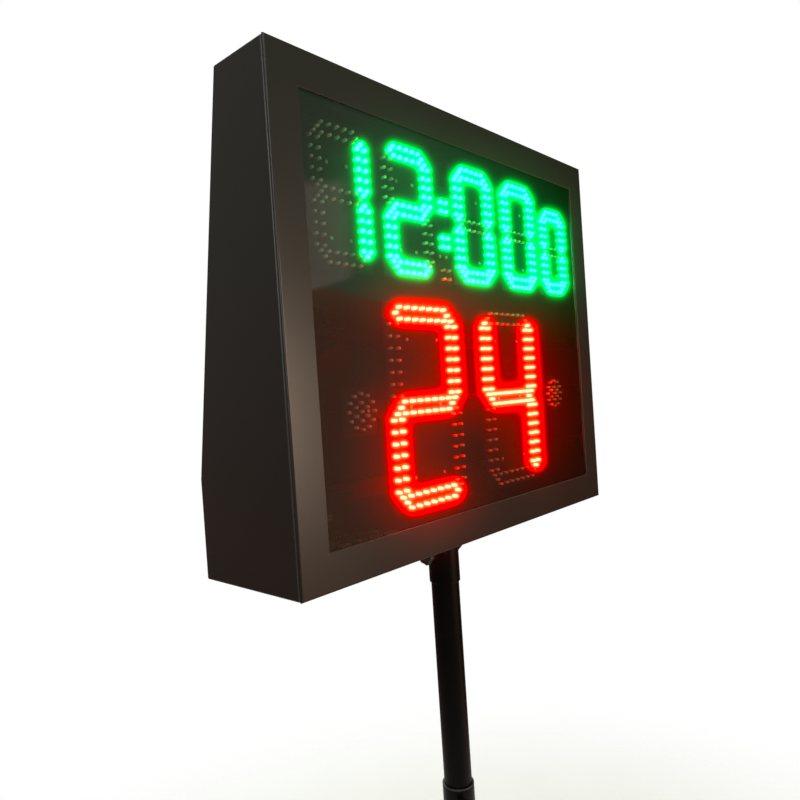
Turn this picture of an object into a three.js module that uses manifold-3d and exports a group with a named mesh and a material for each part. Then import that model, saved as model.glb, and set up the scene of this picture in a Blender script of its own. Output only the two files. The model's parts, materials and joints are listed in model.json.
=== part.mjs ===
// A free-standing shot clock: a wedge-shaped sheet-steel cabinet with a smoked front window and
// through-hole LED digit boards, carried on a telescopic mast with a weighted floor plate.
// Millimetres, +Z up. The origin is on the floor under the mast's axis; the display faces -Y.

import * as THREE from "three";
import { mergeVertices } from "three/addons/utils/BufferGeometryUtils.js";
import Module from "manifold-3d";

const wasm = await Module();
wasm.setup();

// Driving dimensions

const seat = 0.3; // gap left between pieces that touch
const overrun = 4; // how far a cutting tool runs past the face that it cuts
const facets = { tube: 24, turned: 16, small: 12, corner: 6, lobe: 4 }; // sides of round pieces

// Digits of LEDs: two rows a bar and one LED at each bar's end, all on one pitch
const clockDigit = { pitch: 14.4, acrossCount: 5, alongCount: 5 };
const tenthDigit = { pitch: clockDigit.pitch, acrossCount: 4, alongCount: 4 };
const shotDigit = { pitch: 17.68, acrossCount: 7, alongCount: 7 };

const barStep = (count, pitch) => count * pitch + pitch;
const digitWidth = ({ acrossCount, pitch }) => barStep(acrossCount, pitch) + pitch;
const digitHeight = ({ alongCount, pitch }) => 2 * barStep(alongCount, pitch) + pitch;

// Margins and gaps round the outer LEDs, which with the digits set the cabinet's size
const stack = { bottom: 77.84, gap: 53, top: 81.4 };
const clockRow = {
  left: 73.3,
  minuteGap: 39.9,
  colonLeftGap: 27,
  colonRightGap: 26.8,
  secondGap: 41.8,
  tenthGap: 34.5,
  right: 72.7,
};
const shotRow = { gap: 79.18, shift: 8.59 };
const lamp = { leftGap: 41.7, rightGap: 49.88, radius: 25, ringCount: 12, innerCount: 6 };
const colonShares = { upper: 0.6106, lower: 0.3024, point: 0.0246 };

// The clock's pieces from the left, each after its gap
const clockPieces = [
  { name: "minute_tens", gap: clockRow.left, width: digitWidth(clockDigit) },
  { name: "minute_units", gap: clockRow.minuteGap, width: digitWidth(clockDigit) },
  { name: "colon", gap: clockRow.colonLeftGap, width: clockDigit.pitch },
  { name: "second_tens", gap: clockRow.colonRightGap, width: digitWidth(clockDigit) },
  { name: "second_units", gap: clockRow.secondGap, width: digitWidth(clockDigit) },
  { name: "tenths", gap: clockRow.tenthGap, width: digitWidth(tenthDigit) },
];
const clockWidth = clockPieces.reduce((sum, { gap, width }) => sum + gap + width, 0);

const cabinet = {
  width: clockWidth + clockRow.right,
  height: stack.bottom + digitHeight(shotDigit) + stack.gap + digitHeight(clockDigit) + stack.top,
  baseDepth: 214,
  topDepth: 110,
  uprightHeight: 145,
  sheet: 1.5,
  frontLip: 20,
  backLip: 22,
};

const bezel = {
  sideBorder: 50,
  endBorder: 52,
  rim: 4,
  fold: 2.4,
  seam: 1,
};

const gasket = { inset: 5, width: 12 };
const smokedWindow = { inset: 38, thickness: 3 };
const clip = { sheet: 1.5, foot: 14, hook: 8, cornerGap: 26 };

const led = { diameter: 5, height: 8, tipDepth: 9.5, sides: 4 };
const board = { thickness: 1.6, margin: 6 };

const rail = { depth: 15, height: 26, sheet: 1.5, slotLength: 60, slotHeight: 9, slotCount: 5 };
const clockRailShares = { clock_upper: 0.74, clock_lower: 0.185 };
const shotRailShares = { shot_upper: 0.84, shot_middle: 0.5, shot_lower: 0.14 };

// Fittings at the back: their middles' distances from the nearer side, and from the back wall
const sideInsets = { hatch: 220, horn: 195, inlet: 90, rocker: 140, supply: 160 };
const backInsets = { supply: 94, controller: 78 };
const fittingHeight = 74;
const fromLeft = (inset) => inset - cabinet.width / 2;
const fromRight = (inset) => cabinet.width / 2 - inset;

const backPanel = { sheet: 1.5, lap: 16, rowCount: 6, columnCount: 2 };
const louvre = { length: 150, slot: 9, pitch: 34, rise: 8, sheet: 1.5, topMargin: 70 };
const louvreSpreadShare = 0.4634;
const hornGrille = { slotCount: 7, slotHeight: 5, pitch: 10, diameter: 76, riseShare: 0.3808 };

const hatchMargins = { bottom: 20, top: 27 };
const hatch = {
  width: 260,
  height: cabinet.uprightHeight - hatchMargins.bottom - hatchMargins.top,
  x: fromLeft(sideInsets.hatch),
  bottom: hatchMargins.bottom,
  lap: 10,
  sheet: 1.5,
  seal: 0.5,
};
const hinge = {
  knuckle: 7,
  pin: 3,
  clearance: 0.1,
  endGap: 0.5,
  knuckleLengths: [44, 52, 44, 52, 44],
  leaf: 17,
  leafSheet: 1.5,
};
const camLock = {
  rise: 24,
  barrel: 16,
  head: 22,
  headHeight: 2,
  core: 9.4,
  clearance: 0.3,
  wing: 18,
  wingWidth: 4,
  wingHeight: 7,
  tongue: 24,
  tongueWidth: 10,
  tongueSheet: 2,
};

const inlet = {
  x: fromRight(sideInsets.inlet),
  z: fittingHeight,
  width: 27,
  height: 20,
  flangeWidth: 34,
  flangeHeight: 25,
  flange: 2.5,
  depth: 24,
  sideWall: 1.5,
  endWall: 1.7,
  recess: 17,
  chamfer: 4,
  pinPitch: 7,
  pinWidth: 2,
  pinHeight: 4,
  pin: 10,
  pinDrop: 2,
};
const rocker = {
  x: fromRight(sideInsets.rocker),
  z: fittingHeight,
  frameWidth: 21,
  frameHeight: 30,
  frame: 2.5,
  bodyWidth: 18.6,
  bodyHeight: 26.6,
  body: 18,
  length: 20,
  width: 13,
  depth: 6,
  crown: 2.6,
  waistShare: 0.84,
  gap: 0.7,
  tilt: 12,
};

const supply = {
  length: 215,
  width: 115,
  height: 30,
  x: fromRight(sideInsets.supply),
  y: cabinet.baseDepth - backInsets.supply,
  sheet: 1.2,
};
const supplyVents = { count: 8, length: 46, width: 3, pitch: 9 };
const terminals = { length: 16, height: 15, count: 7 };
const controller = {
  length: 170,
  width: 104,
  x: hatch.x,
  y: cabinet.baseDepth - backInsets.controller,
  lift: 10,
  postDiameter: 8,
};
const radioModule = { length: 42, width: 24, height: 6, offsetX: 48, offsetY: 20 };
const chip = { length: 24, width: 24, height: 3, offsetX: -20 };
const dipSwitches = { length: 26, width: 9, height: 6, offsetX: 10, offsetY: 34 };
const plugBlocks = { length: 22, width: 11, height: 12, count: 4, pitch: 34, offsetY: -40 };
const horn = {
  mouth: 78,
  throat: 26,
  throatShare: 0.6,
  depth: 46,
  wall: 2,
  driver: 40,
  driverDepth: 20,
  flange: 92,
};

const mast = { upper: 50, upperWall: 2, lowerWall: 2, insertion: 250 };
const stand = { headHeight: 1250, lowerTop: 792 };
const endCap = { thickness: 3, spigot: 18, spigotWall: 3 };
const guide = { length: 30, spigot: 26, wall: 3, clearance: 0.3 };
const liner = { lip: 3, length: 42, wall: 0.9, clearance: 0.3 };
const socket = {
  plateWidth: 160,
  plateDepth: 130,
  plate: 5,
  clearance: 0.5,
  wall: 2,
  drop: 92,
  web: 4,
  webReach: 34,
  webDrop: 36,
};
const backing = { width: 180, depth: 110, plate: 4 };

const knobBoss = { diameter: 18, length: 7.5, clearance: 0.3, headRise: 40, mastDrop: 25 };
const knob = {
  diameter: 30,
  lobes: 5,
  lobeShare: 0.09,
  thickness: 11,
  hub: 16,
  hubLength: 5,
  stem: 8,
  bevel: 1.6,
};

const floorPlate = { side: 600, thickness: 8, corner: 60, web: 6, webReach: 75, webHeight: 90 };
const foot = { top: 40, bottom: 34, height: 12, inset: 52, cup: 4, cupShare: 0.5 };

// Places worked out from them

const faceY = -cabinet.baseDepth / 2;
const shellFront = bezel.rim + bezel.seam;
const backingFace = cabinet.sheet + seat;
const windowBack = backingFace + smokedWindow.thickness;
const boardFront = led.tipDepth + led.height;
const boardBack = boardFront + board.thickness;
const slopeRun = cabinet.baseDepth - cabinet.topDepth;
const slopeRise = cabinet.height - cabinet.uprightHeight;
const slopeAngle = Math.atan2(slopeRun, slopeRise);
const slopeLength = Math.hypot(slopeRun, slopeRise);
const hornX = fromLeft(sideInsets.horn);
const hornZ = hornGrille.riseShare * slopeLength;
const hingeY = cabinet.baseDepth + seat + hinge.knuckle / 2;
const hatchTop = hatch.bottom + hatch.height;
const hingeZ = hatchTop + hinge.endGap + hinge.knuckle / 2;
const lockZ = hatch.bottom + camLock.rise;
const hatchFace = hingeY + hinge.knuckle / 2;
const lockLength = hatchFace - cabinet.baseDepth + cabinet.sheet + seat;
const floorZ = cabinet.sheet + seat;
const clockBottom = stack.bottom + digitHeight(shotDigit) + stack.gap;
const shotMiddle = stack.bottom + digitHeight(shotDigit) / 2;
const upperBore = mast.upper - 2 * mast.upperWall;
const lowerBore = mast.upper + 2 * (liner.wall + 2 * liner.clearance);
const lowerOuter = lowerBore + 2 * mast.lowerWall;
const socketBore = mast.upper + 2 * socket.clearance;
const sleeveOuter = socketBore + 2 * socket.wall;
const bossReach = lowerOuter / 2 + knobBoss.length;
const bossBore = knob.stem + 2 * knobBoss.clearance;

// Materials, from the photograph's colours

const finish = (color, roughness, metalness) =>
  new THREE.MeshStandardMaterial({ color, roughness, metalness });

const charcoalPaint = () => finish(0x2b2a28, 0.55, 0.2);
const blackPaint = () => finish(0x141416, 0.35, 0.2);
const smokedAcrylic = () =>
  new THREE.MeshStandardMaterial({ color: 0x0c0a0a, roughness: 0.08, transparent: true, opacity: 0.4 });
const blackRubber = () => finish(0x161616, 0.9, 0);
const zincPlate = () => finish(0xb8babb, 0.35, 0.9);
const greenLens = () => finish(0x2c4a38, 0.3, 0);
const redLens = () => finish(0x4a1a18, 0.3, 0);
const greenLaminate = () => finish(0x1d4a2c, 0.5, 0);
const blackPlastic = () => finish(0x18181a, 0.5, 0);
const greyPlastic = () => finish(0x6a6c6e, 0.5, 0);
const redPlastic = () => finish(0xa01818, 0.35, 0);

// Solids

function solid(geometry) {
  const bare = geometry.index ? geometry.toNonIndexed() : geometry;
  bare.deleteAttribute("normal");
  bare.deleteAttribute("uv");
  const merged = mergeVertices(bare, 1e-4);
  return new wasm.Manifold(
    new wasm.Mesh({
      numProp: 3,
      vertProperties: new Float32Array(merged.attributes.position.array),
      triVerts: new Uint32Array(merged.index.array),
    }),
  );
}

function geometryOf(body) {
  const mesh = body.getMesh();
  const geometry = new THREE.BufferGeometry();
  const position = new THREE.BufferAttribute(new Float32Array(mesh.vertProperties), 3);
  geometry.setAttribute("position", position);
  geometry.setIndex(new THREE.BufferAttribute(new Uint32Array(mesh.triVerts), 1));
  const flat = geometry.toNonIndexed();
  flat.computeVertexNormals();
  return flat;
}

const joined = (bodies) => bodies.reduce((whole, body) => whole.add(body));
const cutBy = (body, tools) => tools.reduce((left, tool) => left.subtract(tool), body);

// A box from its low and high corners.
function block(low, high) {
  const size = high.map((value, axis) => value - low[axis]);
  const middle = high.map((value, axis) => (value + low[axis]) / 2);
  return solid(new THREE.BoxGeometry(...size).translate(...middle));
}

// A box given by its size, centred in X and standing on z, from y backwards.
const centredBlock = (width, depth, height, x, y, z) =>
  block([x - width / 2, y, z], [x + width / 2, y + depth, z + height]);

// A round bar along Z, standing on z.
function bar(diameter, length, z, sides = facets.tube) {
  const geometry = new THREE.CylinderGeometry(diameter / 2, diameter / 2, length, sides);
  return solid(geometry.rotateX(Math.PI / 2).translate(0, 0, z + length / 2));
}

// A revolved ring or cup along Z: its section is a list of [radius, height], closed on itself.
function revolved(section, sides = facets.tube) {
  const points = section.map(([radius, height]) => new THREE.Vector2(radius, height));
  if (THREE.ShapeUtils.area(points) < 0) points.reverse();
  points.push(points[0].clone());
  return solid(new THREE.LatheGeometry(points, sides).rotateX(Math.PI / 2));
}

function pipe(outer, inner, length, z, sides = facets.tube) {
  const section = [
    [inner / 2, z],
    [outer / 2, z],
    [outer / 2, z + length],
    [inner / 2, z + length],
  ];
  return revolved(section, sides);
}

const outline = (points) => new THREE.Shape(points.map(([x, y]) => new THREE.Vector2(x, y)));

// An outline in (Y, Z) drawn out along X, centred on x.
function drawnAlongX(points, length, x = 0) {
  const geometry = new THREE.ExtrudeGeometry(outline(points), {
    depth: length,
    bevelEnabled: false,
  });
  const turn = new THREE.Matrix4().makeBasis(
    new THREE.Vector3(0, 1, 0),
    new THREE.Vector3(0, 0, 1),
    new THREE.Vector3(1, 0, 0),
  );
  return solid(geometry.applyMatrix4(turn).translate(x - length / 2, 0, 0));
}

const along = (body, degrees) => body.rotate(degrees);

function part(name, body, material) {
  const mesh = new THREE.Mesh(geometryOf(body), material);
  mesh.name = name;
  return mesh;
}

// Cabinet

// The side view of the wedge, drawn in by an inset on every side.
function wedge(inset, front) {
  const lean = inset / Math.cos(slopeAngle);
  const fall = slopeRun / slopeRise;
  const bendZ = cabinet.uprightHeight - (lean - inset) / fall;
  const topZ = cabinet.height - inset;
  const topY = cabinet.topDepth + (cabinet.height - topZ) * fall - lean;
  return [
    [front, inset],
    [cabinet.baseDepth - inset, inset],
    [cabinet.baseDepth - inset, bendZ],
    [topY, topZ],
    [front, topZ],
  ];
}

function cabinetShell() {
  const { width, height, sheet, frontLip, backLip, uprightHeight, baseDepth } = cabinet;
  const outside = drawnAlongX(wedge(0, shellFront), width);
  const inside = drawnAlongX(wedge(sheet, shellFront + sheet), width - 2 * sheet);
  const frontHole = block(
    [-width / 2 + frontLip, shellFront - overrun, frontLip],
    [width / 2 - frontLip, shellFront + sheet + overrun, height - frontLip],
  );
  const backHole = block(
    [-width / 2 + backLip, cabinet.topDepth / 2, uprightHeight + backLip],
    [width / 2 - backLip, baseDepth + overrun, height - backLip],
  );
  const wall = baseDepth - sheet - overrun;
  const through = sheet + 2 * overrun;
  const hatchHole = centredBlock(
    hatch.width - 2 * hatch.lap,
    through,
    hatch.height - 2 * hatch.lap,
    hatch.x,
    wall,
    hatch.bottom + hatch.lap,
  );
  const fitHole = (fit, fitWidth, fitHeight) =>
    centredBlock(
      fitWidth + 2 * seat,
      through,
      fitHeight + 2 * seat,
      fit.x,
      wall,
      fit.z - fitHeight / 2 - seat,
    );
  return cutBy(outside, [
    inside,
    frontHole,
    backHole,
    hatchHole,
    fitHole(inlet, inlet.width, inlet.height),
    fitHole(rocker, rocker.bodyWidth, rocker.bodyHeight),
  ]);
}

function frontBezel() {
  const { width, height, sheet } = cabinet;
  const { sideBorder, endBorder, rim, fold } = bezel;
  const half = [width / 2 - fold, height / 2 - fold];
  const face = outline([
    [-half[0], -half[1]],
    [half[0], -half[1]],
    [half[0], half[1]],
    [-half[0], half[1]],
  ]);
  const rounded = new THREE.ExtrudeGeometry(face, {
    depth: rim + overrun,
    bevelThickness: fold,
    bevelSize: fold,
    bevelSegments: 3,
  });
  rounded.rotateX(Math.PI / 2).translate(0, rim + overrun + fold, height / 2);
  const behind = block(
    [-width, rim, -overrun],
    [width, rim + 3 * overrun + 2 * fold, height + overrun],
  );
  const tray = block(
    [-width / 2 + sheet, sheet, sheet],
    [width / 2 - sheet, rim + overrun, height - sheet],
  );
  const opening = block(
    [-width / 2 + sideBorder, -overrun, endBorder],
    [width / 2 - sideBorder, rim + overrun, height - endBorder],
  );
  return cutBy(solid(rounded), [behind, tray, opening]);
}

// A flat rectangular frame in the XZ plane.
function frameRing(inset, ringWidth, y, thickness) {
  const { width, height } = cabinet;
  const inner = inset + ringWidth;
  const outside = block(
    [-width / 2 + inset, y, inset],
    [width / 2 - inset, y + thickness, height - inset],
  );
  const inside = block(
    [-width / 2 + inner, y - overrun, inner],
    [width / 2 - inner, y + thickness + overrun, height - inner],
  );
  return outside.subtract(inside);
}

const bezelGasket = () =>
  frameRing(gasket.inset, gasket.width, backingFace, shellFront - seat - backingFace);

function windowSheet() {
  const { width, height } = cabinet;
  const { inset, thickness } = smokedWindow;
  return block(
    [-width / 2 + inset, backingFace, inset],
    [width / 2 - inset, backingFace + thickness, height - inset],
  );
}

// The folded strip that holds one edge of the window, drawn for the bottom edge.
function windowClip(length) {
  const edge = smokedWindow.inset - seat;
  const hookFront = windowBack + seat;
  const section = [
    [backingFace, edge - clip.foot],
    [backingFace + clip.sheet, edge - clip.foot],
    [backingFace + clip.sheet, edge - clip.sheet],
    [hookFront + clip.sheet, edge - clip.sheet],
    [hookFront + clip.sheet, edge + clip.hook],
    [hookFront, edge + clip.hook],
    [hookFront, edge],
    [backingFace, edge],
  ];
  return drawnAlongX(section, length);
}

function windowClips() {
  const { width, height } = cabinet;
  const inset = smokedWindow.inset + clip.cornerGap;
  const across = windowClip(width - 2 * inset);
  const upright = windowClip(height - 2 * inset);
  const placed = (name, body, degrees, x, z) =>
    part(name, along(body, [0, degrees, 0]).translate([x, 0, z]), zincPlate());
  return [
    placed("window_clip_bottom", across, 0, 0, 0),
    placed("window_clip_top", across, 180, 0, height),
    placed("window_clip_left", upright, 90, -width / 2, height / 2),
    placed("window_clip_right", upright, -90, width / 2, height / 2),
  ];
}

// LED boards

// The LEDs of one bar segment: two rows and one LED at each end.
function segmentPoints(x, z, count, pitch, upright) {
  const places = [];
  for (let i = 0; i < count; i += 1) {
    const run = (i - (count - 1) / 2) * pitch;
    places.push([run, -pitch / 2], [run, pitch / 2]);
  }
  places.push([(-count * pitch) / 2, 0], [(count * pitch) / 2, 0]);
  return places.map(([run, side]) => (upright ? [x + side, z + run] : [x + run, z + side]));
}

// The seven segments of a digit whose left column and bottom row are given.
function digitPoints(left, bottom, { acrossCount, alongCount, pitch }) {
  const firstX = left + pitch / 2;
  const firstZ = bottom + pitch / 2;
  const stepX = barStep(acrossCount, pitch);
  const stepZ = barStep(alongCount, pitch);
  const places = [];
  for (const z of [firstZ, firstZ + stepZ, firstZ + 2 * stepZ]) {
    places.push(...segmentPoints(firstX + stepX / 2, z, acrossCount, pitch, false));
  }
  for (const x of [firstX, firstX + stepX]) {
    for (const z of [firstZ + stepZ / 2, firstZ + (3 * stepZ) / 2]) {
      places.push(...segmentPoints(x, z, alongCount, pitch, true));
    }
  }
  return places;
}

function squarePoints(x, z, pitch) {
  const half = pitch / 2;
  return [
    [x - half, z - half],
    [x + half, z - half],
    [x - half, z + half],
    [x + half, z + half],
  ];
}

function lampPoints(x) {
  const places = [[x, shotMiddle]];
  const rings = [
    [lamp.radius / 2, lamp.innerCount],
    [lamp.radius, lamp.ringCount],
  ];
  for (const [radius, count] of rings) {
    for (let i = 0; i < count; i += 1) {
      const turn = (2 * Math.PI * i) / count + Math.PI / 2;
      places.push([x + radius * Math.cos(turn), shotMiddle + radius * Math.sin(turn)]);
    }
  }
  return places;
}

// A bullet-shaped LED with few faces, standing on its board and pointing out of the window.
function ledBody([x, z]) {
  const height = led.height + board.thickness / 2;
  const geometry = new THREE.ConeGeometry(led.diameter / 2, height, led.sides);
  geometry.rotateX(Math.PI).translate(x, led.tipDepth + height / 2, z);
  return solid(geometry);
}

function ledBoard(points) {
  const margin = led.diameter / 2 + board.margin;
  const xs = points.map(([x]) => x);
  const zs = points.map(([, z]) => z);
  const plate = block(
    [Math.min(...xs) - margin, boardFront, Math.min(...zs) - margin],
    [Math.max(...xs) + margin, boardBack, Math.max(...zs) + margin],
  );
  return joined([plate, ...points.map(ledBody)]);
}

// The colon's two dots and the decimal point share a board.
function colonPoints(left) {
  const { pitch } = clockDigit;
  const rise = digitHeight(clockDigit);
  return Object.values(colonShares).flatMap((share) =>
    squarePoints(left + pitch / 2, clockBottom + share * rise, pitch),
  );
}

function clockBoards() {
  let left = -cabinet.width / 2;
  return clockPieces.map(({ name, gap, width }) => {
    left += gap;
    const digit = name === "tenths" ? tenthDigit : clockDigit;
    const points = name === "colon" ? colonPoints(left) : digitPoints(left, clockBottom, digit);
    left += width;
    return part(`${name}_board`, ledBoard(points), greenLens());
  });
}

function shotBoards() {
  const width = digitWidth(shotDigit);
  const tens = -shotRow.shift - shotRow.gap / 2 - width;
  const units = -shotRow.shift + shotRow.gap / 2;
  const points = {
    shot_tens: digitPoints(tens, stack.bottom, shotDigit),
    shot_units: digitPoints(units, stack.bottom, shotDigit),
    left_lamp: lampPoints(tens - lamp.leftGap - lamp.radius),
    right_lamp: lampPoints(units + width + lamp.rightGap + lamp.radius),
  };
  return Object.entries(points).map(([name, places]) =>
    part(`${name}_board`, ledBoard(places), redLens()),
  );
}

// A channel across the cabinet that carries the boards on its web.
function boardRail(z) {
  const { depth, height, sheet, slotCount, slotLength, slotHeight } = rail;
  const front = boardBack + seat;
  const bottom = z - height / 2;
  const section = [
    [front, bottom],
    [front + depth, bottom],
    [front + depth, bottom + sheet],
    [front + sheet, bottom + sheet],
    [front + sheet, bottom + height - sheet],
    [front + depth, bottom + height - sheet],
    [front + depth, bottom + height],
    [front, bottom + height],
  ];
  const length = cabinet.width - 2 * cabinet.sheet - 2 * seat;
  const pitch = length / slotCount;
  const tools = [];
  for (let i = 0; i < slotCount; i += 1) {
    const x = -length / 2 + (i + 0.5) * pitch;
    const tool = [slotLength, sheet + 2 * overrun, slotHeight];
    tools.push(centredBlock(...tool, x, front - overrun, z - slotHeight / 2));
  }
  return cutBy(drawnAlongX(section, length), tools);
}

function boardRails() {
  const railsOf = (shares, bottom, height) =>
    Object.entries(shares).map(([name, share]) =>
      part(`${name}_rail`, boardRail(bottom + share * height), zincPlate()),
    );
  return [
    ...railsOf(clockRailShares, clockBottom, digitHeight(clockDigit)),
    ...railsOf(shotRailShares, stack.bottom, digitHeight(shotDigit)),
  ];
}

// Back of the cabinet. The panel and the horn are drawn on the slope: X across, Y out of the
// cabinet and Z up the slope, from the bend.

function louvreHood(x, z) {
  const { length, slot, rise, sheet } = louvre;
  const outside = backPanel.sheet;
  const section = [
    [0, z + slot],
    [outside, z + slot],
    [outside + rise, z - sheet],
    [outside + rise - sheet, z - sheet],
    [0, z + slot - sheet],
  ];
  return drawnAlongX(section, length, x);
}

function backPanelBody() {
  const { sheet, lap, rowCount, columnCount } = backPanel;
  const { length, slot, pitch, topMargin } = louvre;
  const bottom = cabinet.backLip - lap;
  const width = cabinet.width - 2 * bottom;
  const top = slopeLength - bottom;
  let panel = centredBlock(width, sheet, top - bottom, 0, 0, bottom);
  for (let column = 0; column < columnCount; column += 1) {
    const x = (column - (columnCount - 1) / 2) * louvreSpreadShare * cabinet.width;
    for (let row = 0; row < rowCount; row += 1) {
      const z = top - topMargin - row * pitch;
      const slotTool = centredBlock(length, sheet + 2 * overrun, slot, x, -overrun, z);
      panel = panel.subtract(slotTool).add(louvreHood(x, z));
    }
  }
  return cutBy(panel, hornSlots());
}

function hornSlots() {
  const { slotCount, slotHeight, pitch, diameter } = hornGrille;
  const tools = [];
  for (let i = 0; i < slotCount; i += 1) {
    const rise = (i - (slotCount - 1) / 2) * pitch;
    const slotWidth = Math.sqrt(diameter ** 2 - (2 * rise) ** 2);
    const depth = backPanel.sheet + 2 * overrun;
    const low = hornZ + rise - slotHeight / 2;
    tools.push(centredBlock(slotWidth, depth, slotHeight, hornX, -overrun, low));
  }
  return tools;
}

function hornBody() {
  const { mouth, throat, throatShare, depth, wall, driver, driverDepth, flange } = horn;
  const section = [
    [mouth / 2, 0],
    [flange / 2, 0],
    [flange / 2, wall],
    [mouth / 2 + wall, wall],
    [throat / 2 + wall, depth * throatShare],
    [throat / 2 + wall, depth],
    [driver / 2, depth],
    [driver / 2, depth + driverDepth],
    [0, depth + driverDepth],
    [0, depth],
    [throat / 2, depth],
    [throat / 2, depth * throatShare],
  ];
  return revolved(section, facets.turned);
}

function slopeGroup() {
  const group = new THREE.Group();
  group.position.set(0, cabinet.baseDepth, cabinet.uprightHeight);
  group.rotation.x = slopeAngle;
  const panel = part("back_panel", backPanelBody(), charcoalPaint());
  panel.position.y = seat;
  const siren = part("horn", hornBody(), blackPlastic());
  siren.rotation.x = Math.PI / 2;
  siren.position.set(hornX, 0, hornZ);
  group.add(panel, siren);
  return group;
}

// Service hatch, hinge and cam lock

const knuckleTotal = hinge.knuckleLengths.reduce((sum, length) => sum + length, 0);

// The knuckles' middles and lengths, from the left; even ones are the fixed leaf's.
function knuckles() {
  let start = hatch.x - knuckleTotal / 2;
  return hinge.knuckleLengths.map((length, index) => {
    const middle = start + length / 2;
    start += length;
    return { middle, length: length - hinge.endGap, fixed: index % 2 === 0 };
  });
}

function knuckleTube({ middle, length }) {
  const bore = hinge.pin + 2 * hinge.clearance;
  const tube = pipe(hinge.knuckle, bore, length, -length / 2, facets.small);
  return along(tube, [0, 90, 0]).translate([middle, hingeY, hingeZ]);
}

function hingeBore() {
  const length = knuckleTotal + 2 * overrun;
  const drill = bar(hinge.pin + 2 * hinge.clearance, length, -length / 2, facets.small);
  return along(drill, [0, 90, 0]).translate([hatch.x, hingeY, hingeZ]);
}

function fixedLeaf() {
  const { knuckle, leaf, leafSheet } = hinge;
  const back = cabinet.baseDepth + seat;
  const clear = knuckle / 2 + seat;
  const bodies = [
    centredBlock(knuckleTotal, leafSheet, leaf - clear, hatch.x, back, hingeZ + clear),
  ];
  for (const item of knuckles().filter(({ fixed }) => fixed)) {
    const strap = centredBlock(item.length, leafSheet, leaf, item.middle, back, hingeZ);
    bodies.push(strap, knuckleTube(item));
  }
  return cutBy(joined(bodies), [hingeBore()]);
}

function hingePin() {
  const length = knuckleTotal - hinge.endGap;
  const rod = bar(hinge.pin, length, -length / 2, facets.small);
  return along(rod, [0, 90, 0]).translate([hatch.x, hingeY, hingeZ]);
}

function serviceHatch() {
  const { width, height, x, bottom, sheet, seal } = hatch;
  const wallY = cabinet.baseDepth + seal;
  const depth = hatchFace - wallY;
  const tray = centredBlock(width, depth, height, x, wallY, bottom);
  const hollow = centredBlock(
    width - 2 * sheet,
    depth - sheet + overrun,
    height - 2 * sheet,
    x,
    wallY - overrun,
    bottom + sheet,
  );
  const drill = bar(camLock.barrel + 2 * seat, depth + 2 * overrun, -overrun, facets.turned);
  const lockHole = along(drill, [-90, 0, 0]).translate([x, wallY, lockZ]);
  const bodies = [cutBy(tray, [hollow, lockHole])];
  for (const item of knuckles().filter(({ fixed }) => !fixed)) {
    const rise = hingeZ - hatchTop + sheet;
    const strapY = hatchFace - sheet;
    bodies.push(
      centredBlock(item.length, sheet, rise, item.middle, strapY, hatchTop - sheet),
      knuckleTube(item),
    );
  }
  return cutBy(joined(bodies), [hingeBore()]);
}

// The lock is drawn along Z, its head at the top, and laid so that the head faces backwards.
const lockPlace = (body) =>
  along(body, [-90, 0, 0]).translate([hatch.x, hatchFace + seat, lockZ]);

function lockBarrel() {
  const { barrel, head, headHeight, core, clearance } = camLock;
  const inner = core / 2 + clearance;
  const section = [
    [inner, -lockLength],
    [barrel / 2, -lockLength],
    [barrel / 2, 0],
    [head / 2, 0],
    [head / 2, headHeight],
    [inner, headHeight],
  ];
  return lockPlace(revolved(section, facets.turned));
}

function lockCore() {
  const { core, head, headHeight, wing, wingWidth, wingHeight } = camLock;
  const { tongue, tongueWidth, tongueSheet } = camLock;
  const crown = headHeight + seat;
  const tail = -lockLength - seat - tongueSheet;
  const shaft = bar(core, crown - tail, tail, facets.turned);
  const dial = bar(head - 2 * seat, headHeight / 2, crown, facets.turned);
  const grip = block(
    [-wing / 2, -wingWidth / 2, crown],
    [wing / 2, wingWidth / 2, crown + wingHeight],
  );
  const arm = block(
    [0, -tongueWidth / 2, tail],
    [tongue, tongueWidth / 2, tail + tongueSheet],
  );
  return lockPlace(joined([shaft, dial, grip, arm]));
}

// Mains inlet and rocker switch, drawn facing backwards in the cabinet's back wall

function inletBody() {
  const { x, z, width, height, flangeWidth, flangeHeight, flange, depth } = inlet;
  const wallY = cabinet.baseDepth + seat;
  const bodyBlock = centredBlock(width, depth, height, x, wallY - depth, z - height / 2);
  const flangeBlock = centredBlock(
    flangeWidth,
    flange,
    flangeHeight,
    x,
    wallY,
    z - flangeHeight / 2,
  );
  const face = wallY + flange;
  return joined([cutBy(joined([bodyBlock, flangeBlock]), [inletRecess(face)]), ...inletPins(face)]);
}

// The recess for the plug, with its two chamfered upper corners.
function inletRecess(face) {
  const { x, z, width, height, sideWall, endWall, recess, chamfer } = inlet;
  const half = [width / 2 - sideWall, height / 2 - endWall];
  const shape = outline([
    [-half[0], -half[1]],
    [half[0], -half[1]],
    [half[0], half[1] - chamfer],
    [half[0] - chamfer, half[1]],
    [-half[0] + chamfer, half[1]],
    [-half[0], half[1] - chamfer],
  ]);
  const geometry = new THREE.ExtrudeGeometry(shape, {
    depth: recess + overrun,
    bevelEnabled: false,
  });
  return solid(geometry.rotateX(Math.PI / 2).translate(x, face + overrun, z));
}

function inletPins(face) {
  const { x, z, recess, pinPitch, pinWidth, pinHeight, pin, pinDrop } = inlet;
  const root = face - recess - pinDrop;
  return [-1, 0, 1].map((side) => {
    const rise = side === 0 ? pinDrop : -pinDrop;
    const bottom = z + rise - pinHeight / 2;
    return centredBlock(pinWidth, pin + pinDrop, pinHeight, x + side * pinPitch, root, bottom);
  });
}

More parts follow.
